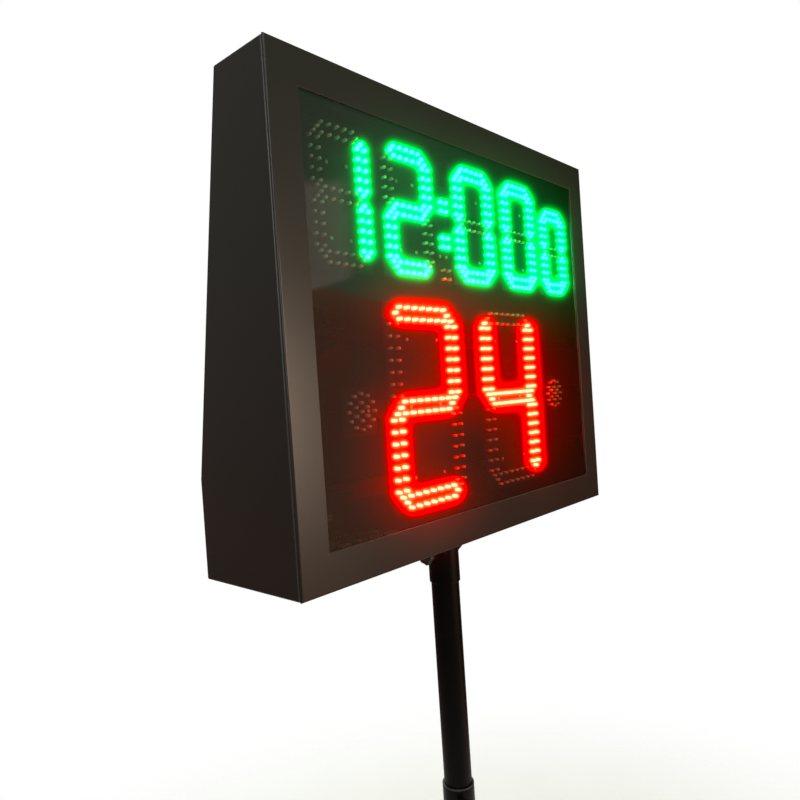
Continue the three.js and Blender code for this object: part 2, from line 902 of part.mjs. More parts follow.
function switchHousing() {
  const { x, z, frameWidth, frameHeight, frame, bodyWidth, bodyHeight, body } = rocker;
  const { length, width, depth, gap, tilt } = rocker;
  const wallY = cabinet.baseDepth + seat;
  const face = wallY + frame;
  const wellDepth = depth + (length / 2) * Math.sin(THREE.MathUtils.degToRad(tilt)) + gap;
  const housing = joined([
    centredBlock(bodyWidth, body, bodyHeight, x, wallY - body, z - bodyHeight / 2),
    centredBlock(frameWidth, frame, frameHeight, x, wallY, z - frameHeight / 2),
  ]);
  const well = centredBlock(
    width + 2 * gap,
    wellDepth + overrun,
    length + 2 * gap,
    x,
    face - wellDepth,
    z - length / 2 - gap,
  );
  return housing.subtract(well);
}

// The rocker's side view has a raised V-shaped face and sides that draw in towards its foot.
function switchRocker() {
  const { x, z, length, width, depth, crown, waistShare, frame, tilt } = rocker;
  const tip = length / 2;
  const waist = tip * waistShare;
  const section = [
    [-depth, -waist],
    [0, -tip],
    [crown, -tip],
    [crown / 2, 0],
    [crown, tip],
    [0, tip],
    [-depth, waist],
  ];
  const body = along(drawnAlongX(section, width), [-tilt, 0, 0]);
  return body.translate([x, cabinet.baseDepth + seat + frame, z]);
}

// Electronics on the cabinet's floor

function powerSupply() {
  const { length, width, height, x, y, sheet } = supply;
  const front = y - width / 2;
  const low = x - length / 2;
  const can = block([low, front, floorZ], [low + length, front + width, floorZ + height]);
  const mouth = block(
    [low - overrun, front + sheet, floorZ + height - terminals.height],
    [low + terminals.length, front + width - sheet, floorZ + height + overrun],
  );
  const tools = [mouth];
  for (let i = 0; i < supplyVents.count; i += 1) {
    const ventX = x + (i - (supplyVents.count - 1) / 2) * supplyVents.pitch;
    const ventZ = floorZ + height - sheet;
    const vent = centredBlock(
      supplyVents.width,
      supplyVents.length,
      sheet + overrun,
      ventX,
      y - supplyVents.length / 2,
      ventZ,
    );
    tools.push(vent);
  }
  const pitch = (width - 2 * sheet) / terminals.count;
  const ribs = [];
  for (let i = 1; i < terminals.count; i += 1) {
    const ribY = front + sheet + i * pitch;
    ribs.push(
      block(
        [low, ribY - sheet / 2, floorZ + sheet],
        [low + terminals.length + sheet, ribY + sheet / 2, floorZ + height - sheet],
      ),
    );
  }
  return joined([cutBy(can, tools), ...ribs]);
}

function controlBoard() {
  const { length, width, x, y, lift, postDiameter } = controller;
  const deck = floorZ + lift;
  const top = deck + board.thickness;
  const bodies = [
    centredBlock(length, width, board.thickness, x, y - width / 2, deck),
    centredBlock(
      chip.length,
      chip.width,
      chip.height + board.thickness,
      x + chip.offsetX,
      y - chip.width / 2,
      deck,
    ),
    centredBlock(
      dipSwitches.length,
      dipSwitches.width,
      dipSwitches.height + board.thickness,
      x + dipSwitches.offsetX,
      y + dipSwitches.offsetY,
      deck,
    ),
  ];
  for (let i = 0; i < plugBlocks.count; i += 1) {
    const plugX = x + (i - (plugBlocks.count - 1) / 2) * plugBlocks.pitch;
    const plugHeight = plugBlocks.height + board.thickness;
    const plug = [plugBlocks.length, plugBlocks.width, plugHeight];
    bodies.push(centredBlock(...plug, plugX, y + plugBlocks.offsetY, deck));
  }
  for (const sideX of [-1, 1]) {
    for (const sideY of [-1, 1]) {
      const post = bar(postDiameter, top - floorZ, floorZ, facets.small);
      const reachX = x + sideX * (length / 2 - postDiameter);
      const reachY = y + sideY * (width / 2 - postDiameter);
      bodies.push(post.translate([reachX, reachY, 0]));
    }
  }
  return joined(bodies);
}

function radioCan() {
  const { length, width, height, offsetX, offsetY } = radioModule;
  const z = floorZ + controller.lift + board.thickness + seat;
  const x = controller.x + offsetX;
  return centredBlock(length, width, height, x, controller.y + offsetY - width / 2, z);
}

// Mast socket under the cabinet, with its backing plate inside

// A three-cornered web that stands out from a round post along +X, on or under z.
function web(reach, rise, thickness, inner, z) {
  const shape = outline([
    [inner, 0],
    [inner + reach, 0],
    [inner, rise],
  ]);
  const geometry = new THREE.ExtrudeGeometry(shape, { depth: thickness, bevelEnabled: false });
  return solid(geometry.rotateX(Math.PI / 2).translate(0, thickness / 2, z));
}

const fourWays = (body, first) =>
  [0, 90, 180, 270].map((turn) => along(body, [0, 0, first + turn]));

// A threaded boss that stands out along +X, for a hand knob at height z.
function clampBoss(boreDiameter, z) {
  const root = boreDiameter / 2;
  const boss = bar(knobBoss.diameter, bossReach - root, root, facets.turned);
  return along(boss, [0, 90, 0]).translate([0, 0, z]);
}

function clampBore(z) {
  const drill = bar(bossBore, bossReach + overrun, 0, facets.small);
  return along(drill, [0, 90, 0]).translate([0, 0, z]);
}

function mastSocket() {
  const { plateWidth, plateDepth, plate, drop, web: webSheet } = socket;
  const top = -seat;
  const deck = centredBlock(plateWidth, plateDepth, plate, 0, -plateDepth / 2, top - plate);
  const webs = fourWays(
    web(socket.webReach, -socket.webDrop, webSheet, sleeveOuter / 2 - webSheet / 2, top - plate),
    45,
  );
  const boss = along(clampBoss(socketBore, -knobBoss.headRise), [0, 0, 180]);
  const bores = [
    bar(socketBore, drop + 2 * overrun, -drop - overrun),
    along(clampBore(-knobBoss.headRise), [0, 0, 180]),
  ];
  return cutBy(joined([deck, bar(sleeveOuter, drop + top, -drop), ...webs, boss]), bores);
}

function backingPlate() {
  const { width, depth, plate } = backing;
  return centredBlock(width, depth, plate, 0, cabinet.baseDepth / 2 - depth / 2, floorZ);
}

// A hand knob on a threaded stem, drawn along +X from the mast's axis at height z.
function handKnob(tipRadius, z) {
  const { diameter, lobes, lobeShare, thickness, hub, hubLength, stem, bevel } = knob;
  const steps = lobes * facets.lobe;
  const radius = diameter / 2 / (1 + lobeShare) - bevel;
  const points = [];
  for (let i = 0; i < steps; i += 1) {
    const turn = (2 * Math.PI * i) / steps;
    const r = radius * (1 + lobeShare * Math.cos(lobes * turn));
    points.push([r * Math.cos(turn), r * Math.sin(turn)]);
  }
  const grip = new THREE.ExtrudeGeometry(outline(points), {
    depth: thickness - 2 * bevel,
    bevelThickness: bevel,
    bevelSize: bevel,
    bevelSegments: 1,
  });
  const hubStart = bossReach + seat;
  grip.translate(0, 0, hubStart + hubLength + bevel);
  const rod = bar(stem, hubStart + hubLength - tipRadius, tipRadius, facets.small);
  const collar = bar(hub, hubLength + bevel, hubStart, facets.turned);
  return along(joined([solid(grip), rod, collar]), [0, 90, 0]).translate([0, 0, z]);
}

// Mast

const upperTop = stand.headHeight - 2 * seat - endCap.thickness;
const upperBottom = stand.lowerTop - mast.insertion;
const plateTop = foot.height + seat + floorPlate.thickness;
const mastKnobZ = stand.lowerTop - knobBoss.mastDrop;
const mastKnobTurn = 225;

const upperTube = () =>
  pipe(mast.upper, upperBore, upperTop - seat - upperBottom, upperBottom);

// A plug that closes a tube's end: a flange outside and a hollow spigot inside.
function tubePlug(flangeDiameter, flange, spigotLength, wall) {
  const spigot = upperBore / 2 - guide.clearance;
  const section = [
    [0, 0],
    [flangeDiameter / 2, 0],
    [flangeDiameter / 2, -flange],
    [spigot, -flange],
    [spigot, -flange - spigotLength],
    [spigot - wall, -flange - spigotLength],
    [spigot - wall, -flange],
    [0, -flange],
  ];
  return revolved(section);
}

function mastEndCap() {
  const { thickness, spigot, spigotWall } = endCap;
  const plug = tubePlug(mast.upper, thickness, spigot, spigotWall);
  return plug.translate([0, 0, upperTop + thickness]);
}

function guideBush() {
  const outer = lowerBore - 2 * guide.clearance;
  const plug = tubePlug(outer, guide.length, guide.spigot, guide.wall);
  return along(plug, [180, 0, 0]).translate([0, 0, upperBottom - seat - guide.length]);
}

// The plastic liner in the lower tube's mouth, with a lip over the tube's end.
function mastLiner() {
  const { lip, length, clearance } = liner;
  const inner = mast.upper / 2 + clearance;
  const outer = lowerBore / 2 - clearance;
  const top = stand.lowerTop;
  const section = [
    [inner, top - length],
    [outer, top - length],
    [outer, top - lip],
    [lowerOuter / 2, top - lip],
    [lowerOuter / 2, top],
    [inner, top],
  ];
  return revolved(section).subtract(along(clampBore(mastKnobZ), [0, 0, mastKnobTurn]));
}

function lowerTube() {
  const top = stand.lowerTop - liner.lip - seat;
  const bottom = plateTop + seat;
  const tube = bar(lowerOuter, top - bottom, bottom);
  const boss = along(clampBoss(lowerBore, mastKnobZ), [0, 0, mastKnobTurn]);
  return cutBy(joined([tube, boss]), [
    bar(lowerBore, top - bottom + 2 * overrun, bottom - overrun),
    along(clampBore(mastKnobZ), [0, 0, mastKnobTurn]),
  ]);
}

// Base

function weightedPlate() {
  const { side, thickness, corner, web: webSheet, webReach, webHeight } = floorPlate;
  const half = side / 2;
  const inner = half - corner;
  const shape = new THREE.Shape();
  shape.moveTo(-inner, -half);
  shape.absarc(inner, -inner, corner, -Math.PI / 2, 0);
  shape.absarc(inner, inner, corner, 0, Math.PI / 2);
  shape.absarc(-inner, inner, corner, Math.PI / 2, Math.PI);
  shape.absarc(-inner, -inner, corner, Math.PI, 1.5 * Math.PI);
  const plate = new THREE.ExtrudeGeometry(shape, {
    depth: thickness,
    bevelEnabled: false,
    curveSegments: facets.corner,
  });
  plate.translate(0, 0, plateTop - thickness);
  const rooted = web(webReach, webHeight, webSheet, lowerOuter / 2 + seat, plateTop - seat);
  return joined([solid(plate), ...fourWays(rooted, 0)]);
}

function rubberFoot(x, y) {
  const { top, bottom, height, cup, cupShare } = foot;
  const section = [
    [0, height],
    [0, cup],
    [(bottom / 2) * cupShare * cupShare, cup],
    [(bottom / 2) * cupShare, 0],
    [bottom / 2, 0],
    [top / 2, height],
  ];
  return revolved(section, facets.turned).translate([x, y, 0]);
}

function rubberFeet() {
  const reach = floorPlate.side / 2 - foot.inset;
  const corners = {
    front_left: [-reach, -reach],
    front_right: [reach, -reach],
    back_left: [-reach, reach],
    back_right: [reach, reach],
  };
  return Object.entries(corners).map(([name, [x, y]]) =>
    part(`foot_${name}`, rubberFoot(x, y), blackRubber()),
  );
}

// Assembly

const head = new THREE.Group();
head.position.set(0, faceY, stand.headHeight);
head.add(
  part("cabinet_shell", cabinetShell(), charcoalPaint()),
  part("front_bezel", frontBezel(), charcoalPaint()),
  part("bezel_gasket", bezelGasket(), blackRubber()),
  part("window", windowSheet(), smokedAcrylic()),
  ...windowClips(),
  ...clockBoards(),
  ...shotBoards(),
  ...boardRails(),
  slopeGroup(),
  part("hatch_hinge_leaf", fixedLeaf(), charcoalPaint()),
  part("hatch_hinge_pin", hingePin(), zincPlate()),
  part("service_hatch", serviceHatch(), charcoalPaint()),
  part("hatch_lock_barrel", lockBarrel(), zincPlate()),
  part("hatch_lock_core", lockCore(), zincPlate()),
  part("mains_inlet", inletBody(), blackPlastic()),
  part("switch_housing", switchHousing(), blackPlastic()),
  part("switch_rocker", switchRocker(), redPlastic()),
  part("power_supply", powerSupply(), zincPlate()),
  part("control_board", controlBoard(), greenLaminate()),
  part("radio_module", radioCan(), zincPlate()),
  part("socket_backing_plate", backingPlate(), zincPlate()),
);

const mount = new THREE.Group();
mount.position.set(0, 0, stand.headHeight);
const headKnob = along(handKnob(mast.upper / 2 + seat, -knobBoss.headRise), [0, 0, 180]);
mount.add(
  part("mast_socket", mastSocket(), blackPaint()),
  part("head_knob", headKnob, blackPlastic()),
);

const mastKnob = along(handKnob(mast.upper / 2 + seat, mastKnobZ), [0, 0, mastKnobTurn]);

const shotClock = new THREE.Group();
shotClock.add(
  head,
  mount,
  part("upper_tube", upperTube(), blackPaint()),
  part("mast_end_cap", mastEndCap(), blackPlastic()),
  part("guide_bush", guideBush(), greyPlastic()),
  part("mast_liner", mastLiner(), blackPlastic()),
  part("lower_tube", lowerTube(), blackPaint()),
  part("mast_knob", mastKnob, zincPlate()),
  part("floor_plate", weightedPlate(), blackPaint()),
  ...rubberFeet(),
);

export default shotClock;
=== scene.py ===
"""Shot clock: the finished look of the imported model, laid out as a Blender add-on.

Metres, +Z up, the display faces -Y. Each operator makes one piece or one group of like pieces."""

import json
import math
from functools import partial

import bmesh
import bpy
from bpy.props import (
    FloatProperty, FloatVectorProperty, IntProperty, PointerProperty, StringProperty
)
from mathutils import Matrix, Vector


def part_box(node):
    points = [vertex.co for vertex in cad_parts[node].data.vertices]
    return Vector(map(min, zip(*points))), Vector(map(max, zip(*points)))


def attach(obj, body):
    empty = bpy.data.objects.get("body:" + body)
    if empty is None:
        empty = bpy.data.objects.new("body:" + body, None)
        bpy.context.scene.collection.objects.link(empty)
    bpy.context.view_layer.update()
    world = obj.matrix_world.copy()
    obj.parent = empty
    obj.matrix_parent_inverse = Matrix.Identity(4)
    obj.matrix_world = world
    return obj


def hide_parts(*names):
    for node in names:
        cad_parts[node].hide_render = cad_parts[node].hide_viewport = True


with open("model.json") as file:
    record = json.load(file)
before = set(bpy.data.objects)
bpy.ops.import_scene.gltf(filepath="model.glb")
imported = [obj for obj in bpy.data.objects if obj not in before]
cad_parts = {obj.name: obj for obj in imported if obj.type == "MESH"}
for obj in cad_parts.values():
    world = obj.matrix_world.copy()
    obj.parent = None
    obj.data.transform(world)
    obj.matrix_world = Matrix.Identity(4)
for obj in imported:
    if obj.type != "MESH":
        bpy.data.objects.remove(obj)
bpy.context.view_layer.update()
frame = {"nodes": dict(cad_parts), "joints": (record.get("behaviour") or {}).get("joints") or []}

bl_info = {
    "name": "Shot clock",
    "version": (1, 0, 0),
    "blender": (4, 5, 0),
    "location": "3D View > Sidebar > Shot clock",
    "description": "Finished pieces, materials and stage of a free-standing shot clock",
    "category": "Object",
}

MM = 0.001
FULL_TURN = 2 * math.pi
HERE = Matrix.Identity(4)
TO_BACK = Matrix.Rotation(math.radians(-90), 4, "X")  # turns +Z to +Y
TO_FRONT = Matrix.Rotation(math.radians(90), 4, "X")  # turns +Z to -Y
UPSIDE_DOWN = Matrix.Rotation(math.radians(180), 4, "X")

# The cabinet's sloping back: X across, +Y out of the cabinet, +Z up the slope from the bend
UPRIGHT_HEIGHT = 145 * MM
TOP_DEPTH = 110 * MM
SHELL_LOW, SHELL_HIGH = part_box("cabinet_shell")
SLOPE_RUN = SHELL_HIGH.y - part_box("front_bezel")[0].y - TOP_DEPTH
SLOPE_RISE = SHELL_HIGH.z - SHELL_LOW.z - UPRIGHT_HEIGHT
SLOPE_ANGLE = math.atan2(SLOPE_RUN, SLOPE_RISE)
SLOPE_LENGTH = math.hypot(SLOPE_RUN, SLOPE_RISE) / MM
BEND = Vector((0, SHELL_HIGH.y, SHELL_LOW.z + UPRIGHT_HEIGHT))
SLOPE = Matrix.Translation(BEND) @ Matrix.Rotation(SLOPE_ANGLE, 4, "X")

# Places and sizes in millimetres, turns in degrees
BEZEL_RIM = Vector((50, 0, 52))  # from the bezel's outside to its opening
BACK_SCREWS = 396, 14  # the outer columns from the middle, and the rows from the slope's ends
BACK_PANEL_FACE = 1.8
HORN_SIDE, HORN_RISE = -215, 0.3808  # the rise is a share of the slope
ROCKER_SIDE, ROCKER_HEIGHT, ROCKER_TILT = 270, 1324, -12
KNOB_REACH, KNOB_TIP = 36, 25.3  # from the mast's middle to a boss's end and to a screw's tip
KNOB_BOSS = 9  # radius of the boss that a knob's screw goes through
MAST_KNOB_WAY = 225
PLATE_SHEET = 8
FOOT_CORNER = 248  # from the mast's middle to a foot, along and across

# The display
SEGMENTS = "abcdefg"  # top, upper right, lower right, bottom, lower left, upper left, middle
LIT = {"0": "abcdef", "1": "bc", "2": "abdeg", "3": "abcdg", "4": "bcfg", "5": "acdfg",
       "6": "acdefg", "7": "abc", "8": "abcdefg", "9": "abcdfg", " ": ""}
CLOCK_PITCH = 14.4
SHOT_PITCH = 17.68
COLON_HEIGHTS = (1738.0, 1795.7, 1686.0)  # the colon's two dots and the decimal point
BOARD_MARGIN = 8.5  # from an outer LED's centre to its board's edge
BOARD_SHEET = 1.6
LAMP_RINGS = ((12.5, 6), (25, 12))  # each with its radius and its count of LEDs
CLOCK_SCREWS, COLON_SCREWS, LAMP_SCREWS = 18, 8, 18  # from a board's middle to each side
SHOT_SCREWS = 2 * SHOT_PITCH

# The camera
CAMERA_PLACE = (-0.9158, -0.7485, 1.5052)
CAMERA_TURN = (47.856, -0.899, 3.792)  # yaw, pitch and roll in degrees
CAMERA_LENS = 29.637
CAMERA_SATURATION = 1.04
HALOS = (  # each with its share of the picture's width, its strength and its contrast
    (0.006, 0.8, 1.0),
    (0.0165, 0.28, 1.6),
    (0.0225, 0.08, 1.3),
    (0.09, 0.045, 1.0),
)


# Colours: sRGB hex to Blender's linear values


def linear(hex_colour):
    """Turns an sRGB hex colour such as "2b2a28" to linear red, green and blue."""
    parts = [int(hex_colour[i : i + 2], 16) / 255 for i in (0, 2, 4)]
    return tuple(c / 12.92 if c <= 0.04045 else ((c + 0.055) / 1.055) ** 2.4 for c in parts)


def shade(colour, factor=1.0, lift=0.0):
    """A socket's colour: a lighter or darker one of a linear colour, with its alpha."""
    return (*(min(1, c * factor + lift) for c in colour[:3]), 1)


def colour_property(name, hex_colour, description):
    return FloatVectorProperty(name=name, description=description, default=linear(hex_colour),
                               min=0, max=1, size=3, subtype="COLOR")


def number_property(name, value, description, unit="NONE"):
    return FloatProperty(name=name, description=description, default=value, min=0, unit=unit)


def length_property(name, millimetres, description):
    return number_property(name, millimetres * MM, description, "LENGTH")


class ShotClockDisplay(bpy.types.PropertyGroup):
    """What the display shows, and the light of its LEDs."""

    clock: StringProperty(
        name="Game clock", description="Minutes, seconds and tenths", default="12000", maxlen=5
    )
    shot: StringProperty(
        name="Shot clock", description="Seconds left to shoot", default="24", maxlen=2
    )
    green: colour_property("Green light", "12ff74", "Light of the clock's lit LEDs")
    red: colour_property("Red light", "ff2014", "Light of the shot clock's lit LEDs")
    green_strength: number_property("Green strength", 120, "How strongly lit green LEDs glow")
    red_strength: number_property("Red strength", 180, "How strongly lit red LEDs glow")
    lens_diameter: length_property("LED diameter", 5, "Diameter of one LED")
    lens_height: length_property("LED height", 10, "How far one LED stands off its board")


class ShotClockSheet(bpy.types.PropertyGroup):
    """Sizes of the folded sheet metal and its fasteners."""

    fold_radius: length_property("Fold radius", 2.2, "Outer radius of the folded edges")
    edge_break: length_property("Edge break", 0.4, "Rounding of cut and moulded edges")
    screw_head: length_property("Screw head", 8, "Diameter of the button-head screws")
    weld_bead: length_property("Weld bead", 3, "Width of the welds' beads")
    tube_steps: IntProperty(
        name="Tube facets", description="Sides of the round pieces", default=64, min=12
    )


class ShotClockColours(bpy.types.PropertyGroup):
    """Base colours of the finishes."""

    cabinet: colour_property("Cabinet paint", "1b1815", "Powder coat of the cabinet")
    mast: colour_property("Mast paint", "040303", "Powder coat of the mast and base")
    plastic: colour_property("Black plastic", "1a1a1c", "Moulded fittings and knobs")
    rubber: colour_property("Rubber", "141414", "Gasket and feet")
    zinc: colour_property("Zinc plate", "b4b6b8", "Clips, plates and screws")
    aluminium: colour_property("Aluminium", "5a5d60", "Case of the power supply")
    rails: colour_property("Anodised rails", "0d0d0e", "Rails that carry the boards")
    board: colour_property("Solder mask", "050706", "Face of the LED boards")
    rocker: colour_property("Switch rocker", "8c1414", "Mains switch")


class ShotClockStage(bpy.types.PropertyGroup):
    """Floor and lights."""

    floor_radius: length_property("Floor radius", 2000, "Radius of the pale floor")
    floor: colour_property("Floor", "f7f7f5", "Colour of the floor")
    key_power: number_property("Key light", 55, "Power of the key light", "POWER")
    fill_power: number_property("Fill light", 40, "Power of the fill light", "POWER")
    panel_power: number_property("Front panel", 46, "Power of the warm front panel", "POWER")


class ShotClockSettings(bpy.types.PropertyGroup):
    """All the shot clock's settings."""

    display: PointerProperty(type=ShotClockDisplay)
    sheet: PointerProperty(type=ShotClockSheet)
    colours: PointerProperty(type=ShotClockColours)
    stage: PointerProperty(type=ShotClockStage)


def settings():
    return bpy.context.scene.shot_clock


# Materials. Each maker gets what adds nodes to its tree and the object's own coordinates


def add_node(tree, kind, sockets=None, **own):
    """Adds a node: own are its settings, and sockets its inputs' values or what feeds them. A node
    that is given as a value feeds its first output in use."""
    node = tree.nodes.new(tree.bl_idname.removesuffix("Tree") + kind)
    for name, value in own.items():
        setattr(node, name, value)
    for name, value in (sockets or {}).items():
        if isinstance(value, bpy.types.Node):
            value = next(output for output in value.outputs if output.enabled)
        if isinstance(value, bpy.types.NodeSocket):
            tree.links.new(value, node.inputs[name])
        else:
            node.inputs[name].default_value = value
    return node


def fresh_nodes(owner):
    """Empties the tree of a material, a world or a scene, and gives what adds nodes to it."""
    owner.use_nodes = True
    owner.node_tree.nodes.clear()
    return partial(add_node, owner.node_tree)


def new_material(name, maker, *looks):
    material = bpy.data.materials.new(name)
    node = fresh_nodes(material)
    place = node("TexCoord").outputs["Object"]
    node("OutputMaterial", {"Surface": maker(node, place, *looks)})
    return material


def per_mm(size):
    """The scale that gives a pattern one repeat in so many millimetres."""
    return 1 / (size * MM)


def powder_coat(node, place, colour, roughness, peel, relief, fold_wear_and_highlight, gloss):
    """Powder-coated steel: an even satin skin, whose orange peel breaks up its highlights. The real
    peel is under 1 mm, and is drawn coarser so that it shows. Folds are painted a little lighter
    under the grain: partly wear of the paint, partly a painted highlight along the fold."""
    cloud = node("TexNoise", {"Vector": place, "Scale": per_mm(160), "Detail": 3})
    grain = node("TexNoise", {"Vector": place, "Scale": per_mm(peel), "Detail": 2})
    fold = node("Attribute", attribute_name="fold").outputs["Fac"]
    # Fold faces get a lighter colour: partly wear of the paint, partly a painted highlight along
    # the fold
    fold_wear_and_highlight_mask = node("Math", {0: fold, 1: grain}, operation="MULTIPLY")
    ends = {"A": shade(colour, 0.86), "B": shade(colour, 1.14, 0.001)}
    body = node("Mix", {"Factor": cloud, **ends}, data_type="RGBA")
    whole = node("Mix", {"Factor": fold_wear_and_highlight_mask, "A": body, "B": shade(fold_wear_and_highlight)}, data_type="RGBA")
    satin = node("MapRange",
                 {"Value": cloud, "To Min": roughness - 0.05, "To Max": roughness + 0.05})
    skin = node("Bump", {"Height": grain, "Strength": relief, "Distance": 0.3 * MM})
    return node("BsdfPrincipled", {"Base Color": whole, "Roughness": satin,
                                   "Specular IOR Level": gloss, "Normal": skin})


def smoked_acrylic(node, place, tint):
    """Cast acrylic, dyed through: it darkens what is behind it and mirrors softly from its polished
    faces, more so at a flat angle. Faint wipe marks vary the gloss."""
    wipes = node("TexNoise",
                 {"Vector": place, "Scale": per_mm(90), "Detail": 4, "Distortion": 0.6})
    haze = node("MapRange", {"Value": wipes, "To Min": 0.01, "To Max": 0.07})
    slant = node("LayerWeight", {"Blend": 0.5}).outputs["Facing"]
    bend = node("Math", {0: slant, 1: 5}, operation="POWER")
    mirror = node("Math", {0: bend, 1: 0.96, 2: 0.04}, operation="MULTIPLY_ADD")
    clear = node("BsdfTransparent", {"Color": shade(tint)})
    gloss = node("BsdfAnisotropic", {"Color": (1, 1, 1, 1), "Roughness": haze})
    return node("MixShader", {0: mirror, 1: clear, 2: gloss})


def moulded(node, place, colour, roughness, grain_size, relief, ior=1.5):
    """Injection-moulded plastic or rubber: the tool's spark-eroded grain, slightly uneven gloss."""
    grain = node("TexNoise", {"Vector": place, "Scale": per_mm(grain_size), "Detail": 3})
    cloud = node("TexNoise", {"Vector": place, "Scale": per_mm(30), "Detail": 2})
    ends = {"A": shade(colour, 0.8), "B": shade(colour, 1.25)}
    body = node("Mix", {"Factor": cloud, **ends}, data_type="RGBA")
    gloss = node("MapRange",
                 {"Value": cloud, "To Min": roughness - 0.07, "To Max": roughness + 0.07})
    skin = node("Bump", {"Height": grain, "Strength": relief, "Distance": 0.2 * MM})
    return node("BsdfPrincipled",
                {"Base Color": body, "Roughness": gloss, "IOR": ior, "Normal": skin})


def bare_metal(node, place, colour, roughness, grain_size, stretch):
    """Plated, rolled or drawn metal: a mirror broken by fine lines or spangle, whose colour and
    roughness drift. stretch gives the lines' direction, one factor an axis."""
    drawn = node("Mapping", {"Vector": place, "Scale": stretch})
    grain = node("TexNoise", {"Vector": drawn, "Scale": per_mm(grain_size), "Detail": 4})
    ends = {"A": shade(colour, 0.78), "B": shade(colour)}
    body = node("Mix", {"Factor": grain, **ends}, data_type="RGBA")
    gloss = node("MapRange",
                 {"Value": grain, "To Min": roughness - 0.1, "To Max": roughness + 0.12})
    skin = node("Bump", {"Height": grain, "Strength": 0.15, "Distance": 0.1 * MM})
    return node("BsdfPrincipled",
                {"Base Color": body, "Metallic": 1, "Roughness": gloss, "Normal": skin})


def solder_mask(node, place, colour, roughness, gloss):
    """Epoxy solder mask over copper, glossy or matt, with the tracks just standing out under it.
    Tracks are 1 mm apart on the real board and drawn 4 mm apart."""
    wave = {"Vector": place, "Scale": per_mm(4) / FULL_TURN, "Distortion": 1.5, "Detail": 1}
    tracks = node("TexWave", wave, bands_direction="Z")
    ends = {"A": shade(colour), "B": shade(colour, 1.7, 0.001)}
    body = node("Mix", {"Factor": tracks, **ends}, data_type="RGBA")
    skin = node("Bump", {"Height": tracks, "Strength": 0.2, "Distance": 0.1 * MM})
    return node("BsdfPrincipled", {"Base Color": body, "Roughness": roughness,
                                   "Specular IOR Level": gloss, "Normal": skin})


def led_lens(node, place, tint, root, tip):
    """Unlit LED: clear tinted epoxy, glossy and domed, darker at its root where the legs enter. It
    is painted lighter towards the dome, a painted glint that stands in for the dome's highlights.
    """
    along = node("SeparateXYZ", {"Vector": place}).outputs["Y"]
    depth = node("MapRange", {"Value": along, "From Min": root, "From Max": tip})
    cast = node("TexNoise", {"Vector": place, "Scale": per_mm(9), "Detail": 1})
    uneven = node("MapRange", {"Value": cast, "To Min": 0.5, "To Max": 1.2})
    # Darker at the root, where the legs and lead frame sit, and lighter towards the dome as a
    # painted glint
    lead_frame_and_dome_glint = node("Math", {0: depth, 1: uneven}, operation="MULTIPLY")
    ends = {"A": shade(tint, 0.12), "B": shade(tint, 1.3)}
    body = node("Mix", {"Factor": lead_frame_and_dome_glint, **ends}, data_type="RGBA")
    return node("BsdfPrincipled", {"Base Color": body, "Roughness": 0.12, "IOR": 1.55})


def led_glow(node, place, light, strength, tint, dim, bright, root_share):
    """Lit LED: its lens glows, most at the dome, and no two of one batch are quite as bright."""
    batch = node("TexNoise", {"Vector": place, "Scale": per_mm(12), "Detail": 0})
    ends = {"A": shade(light, 0.7), "B": shade(light)}
    shine = node("Mix", {"Factor": batch, **ends}, data_type="RGBA")
    along = node("SeparateXYZ", {"Vector": place}).outputs["Y"]
    beam = node("MapRange", {"Value": along, "From Min": dim, "From Max": bright,
                             "To Min": strength * root_share, "To Max": strength})
    return node("BsdfPrincipled", {"Base Color": shade(tint, 0.04), "Roughness": 0.12, "IOR": 1.55,
                                   "Emission Color": shine, "Emission Strength": beam})


def pale_floor(node, place, colour, inner, outer):
    """Matt painted studio floor, fading out at its rim so that no edge shows."""
    reach = node("VectorMath", {0: place}, operation="LENGTH")
    fade = node("MapRange", {"Value": reach, "From Min": inner, "From Max": outer},
                interpolation_type="SMOOTHSTEP")
    scuff = node("TexNoise", {"Vector": place, "Scale": per_mm(220), "Detail": 4})
    ends = {"A": shade(colour, 0.96), "B": shade(colour, 1.03)}
    body = node("Mix", {"Factor": scuff, **ends}, data_type="RGBA")
    matt = node("BsdfDiffuse", {"Color": body, "Roughness": 0.5})
    return node("MixShader", {0: fade, 1: matt, 2: node("BsdfTransparent")})


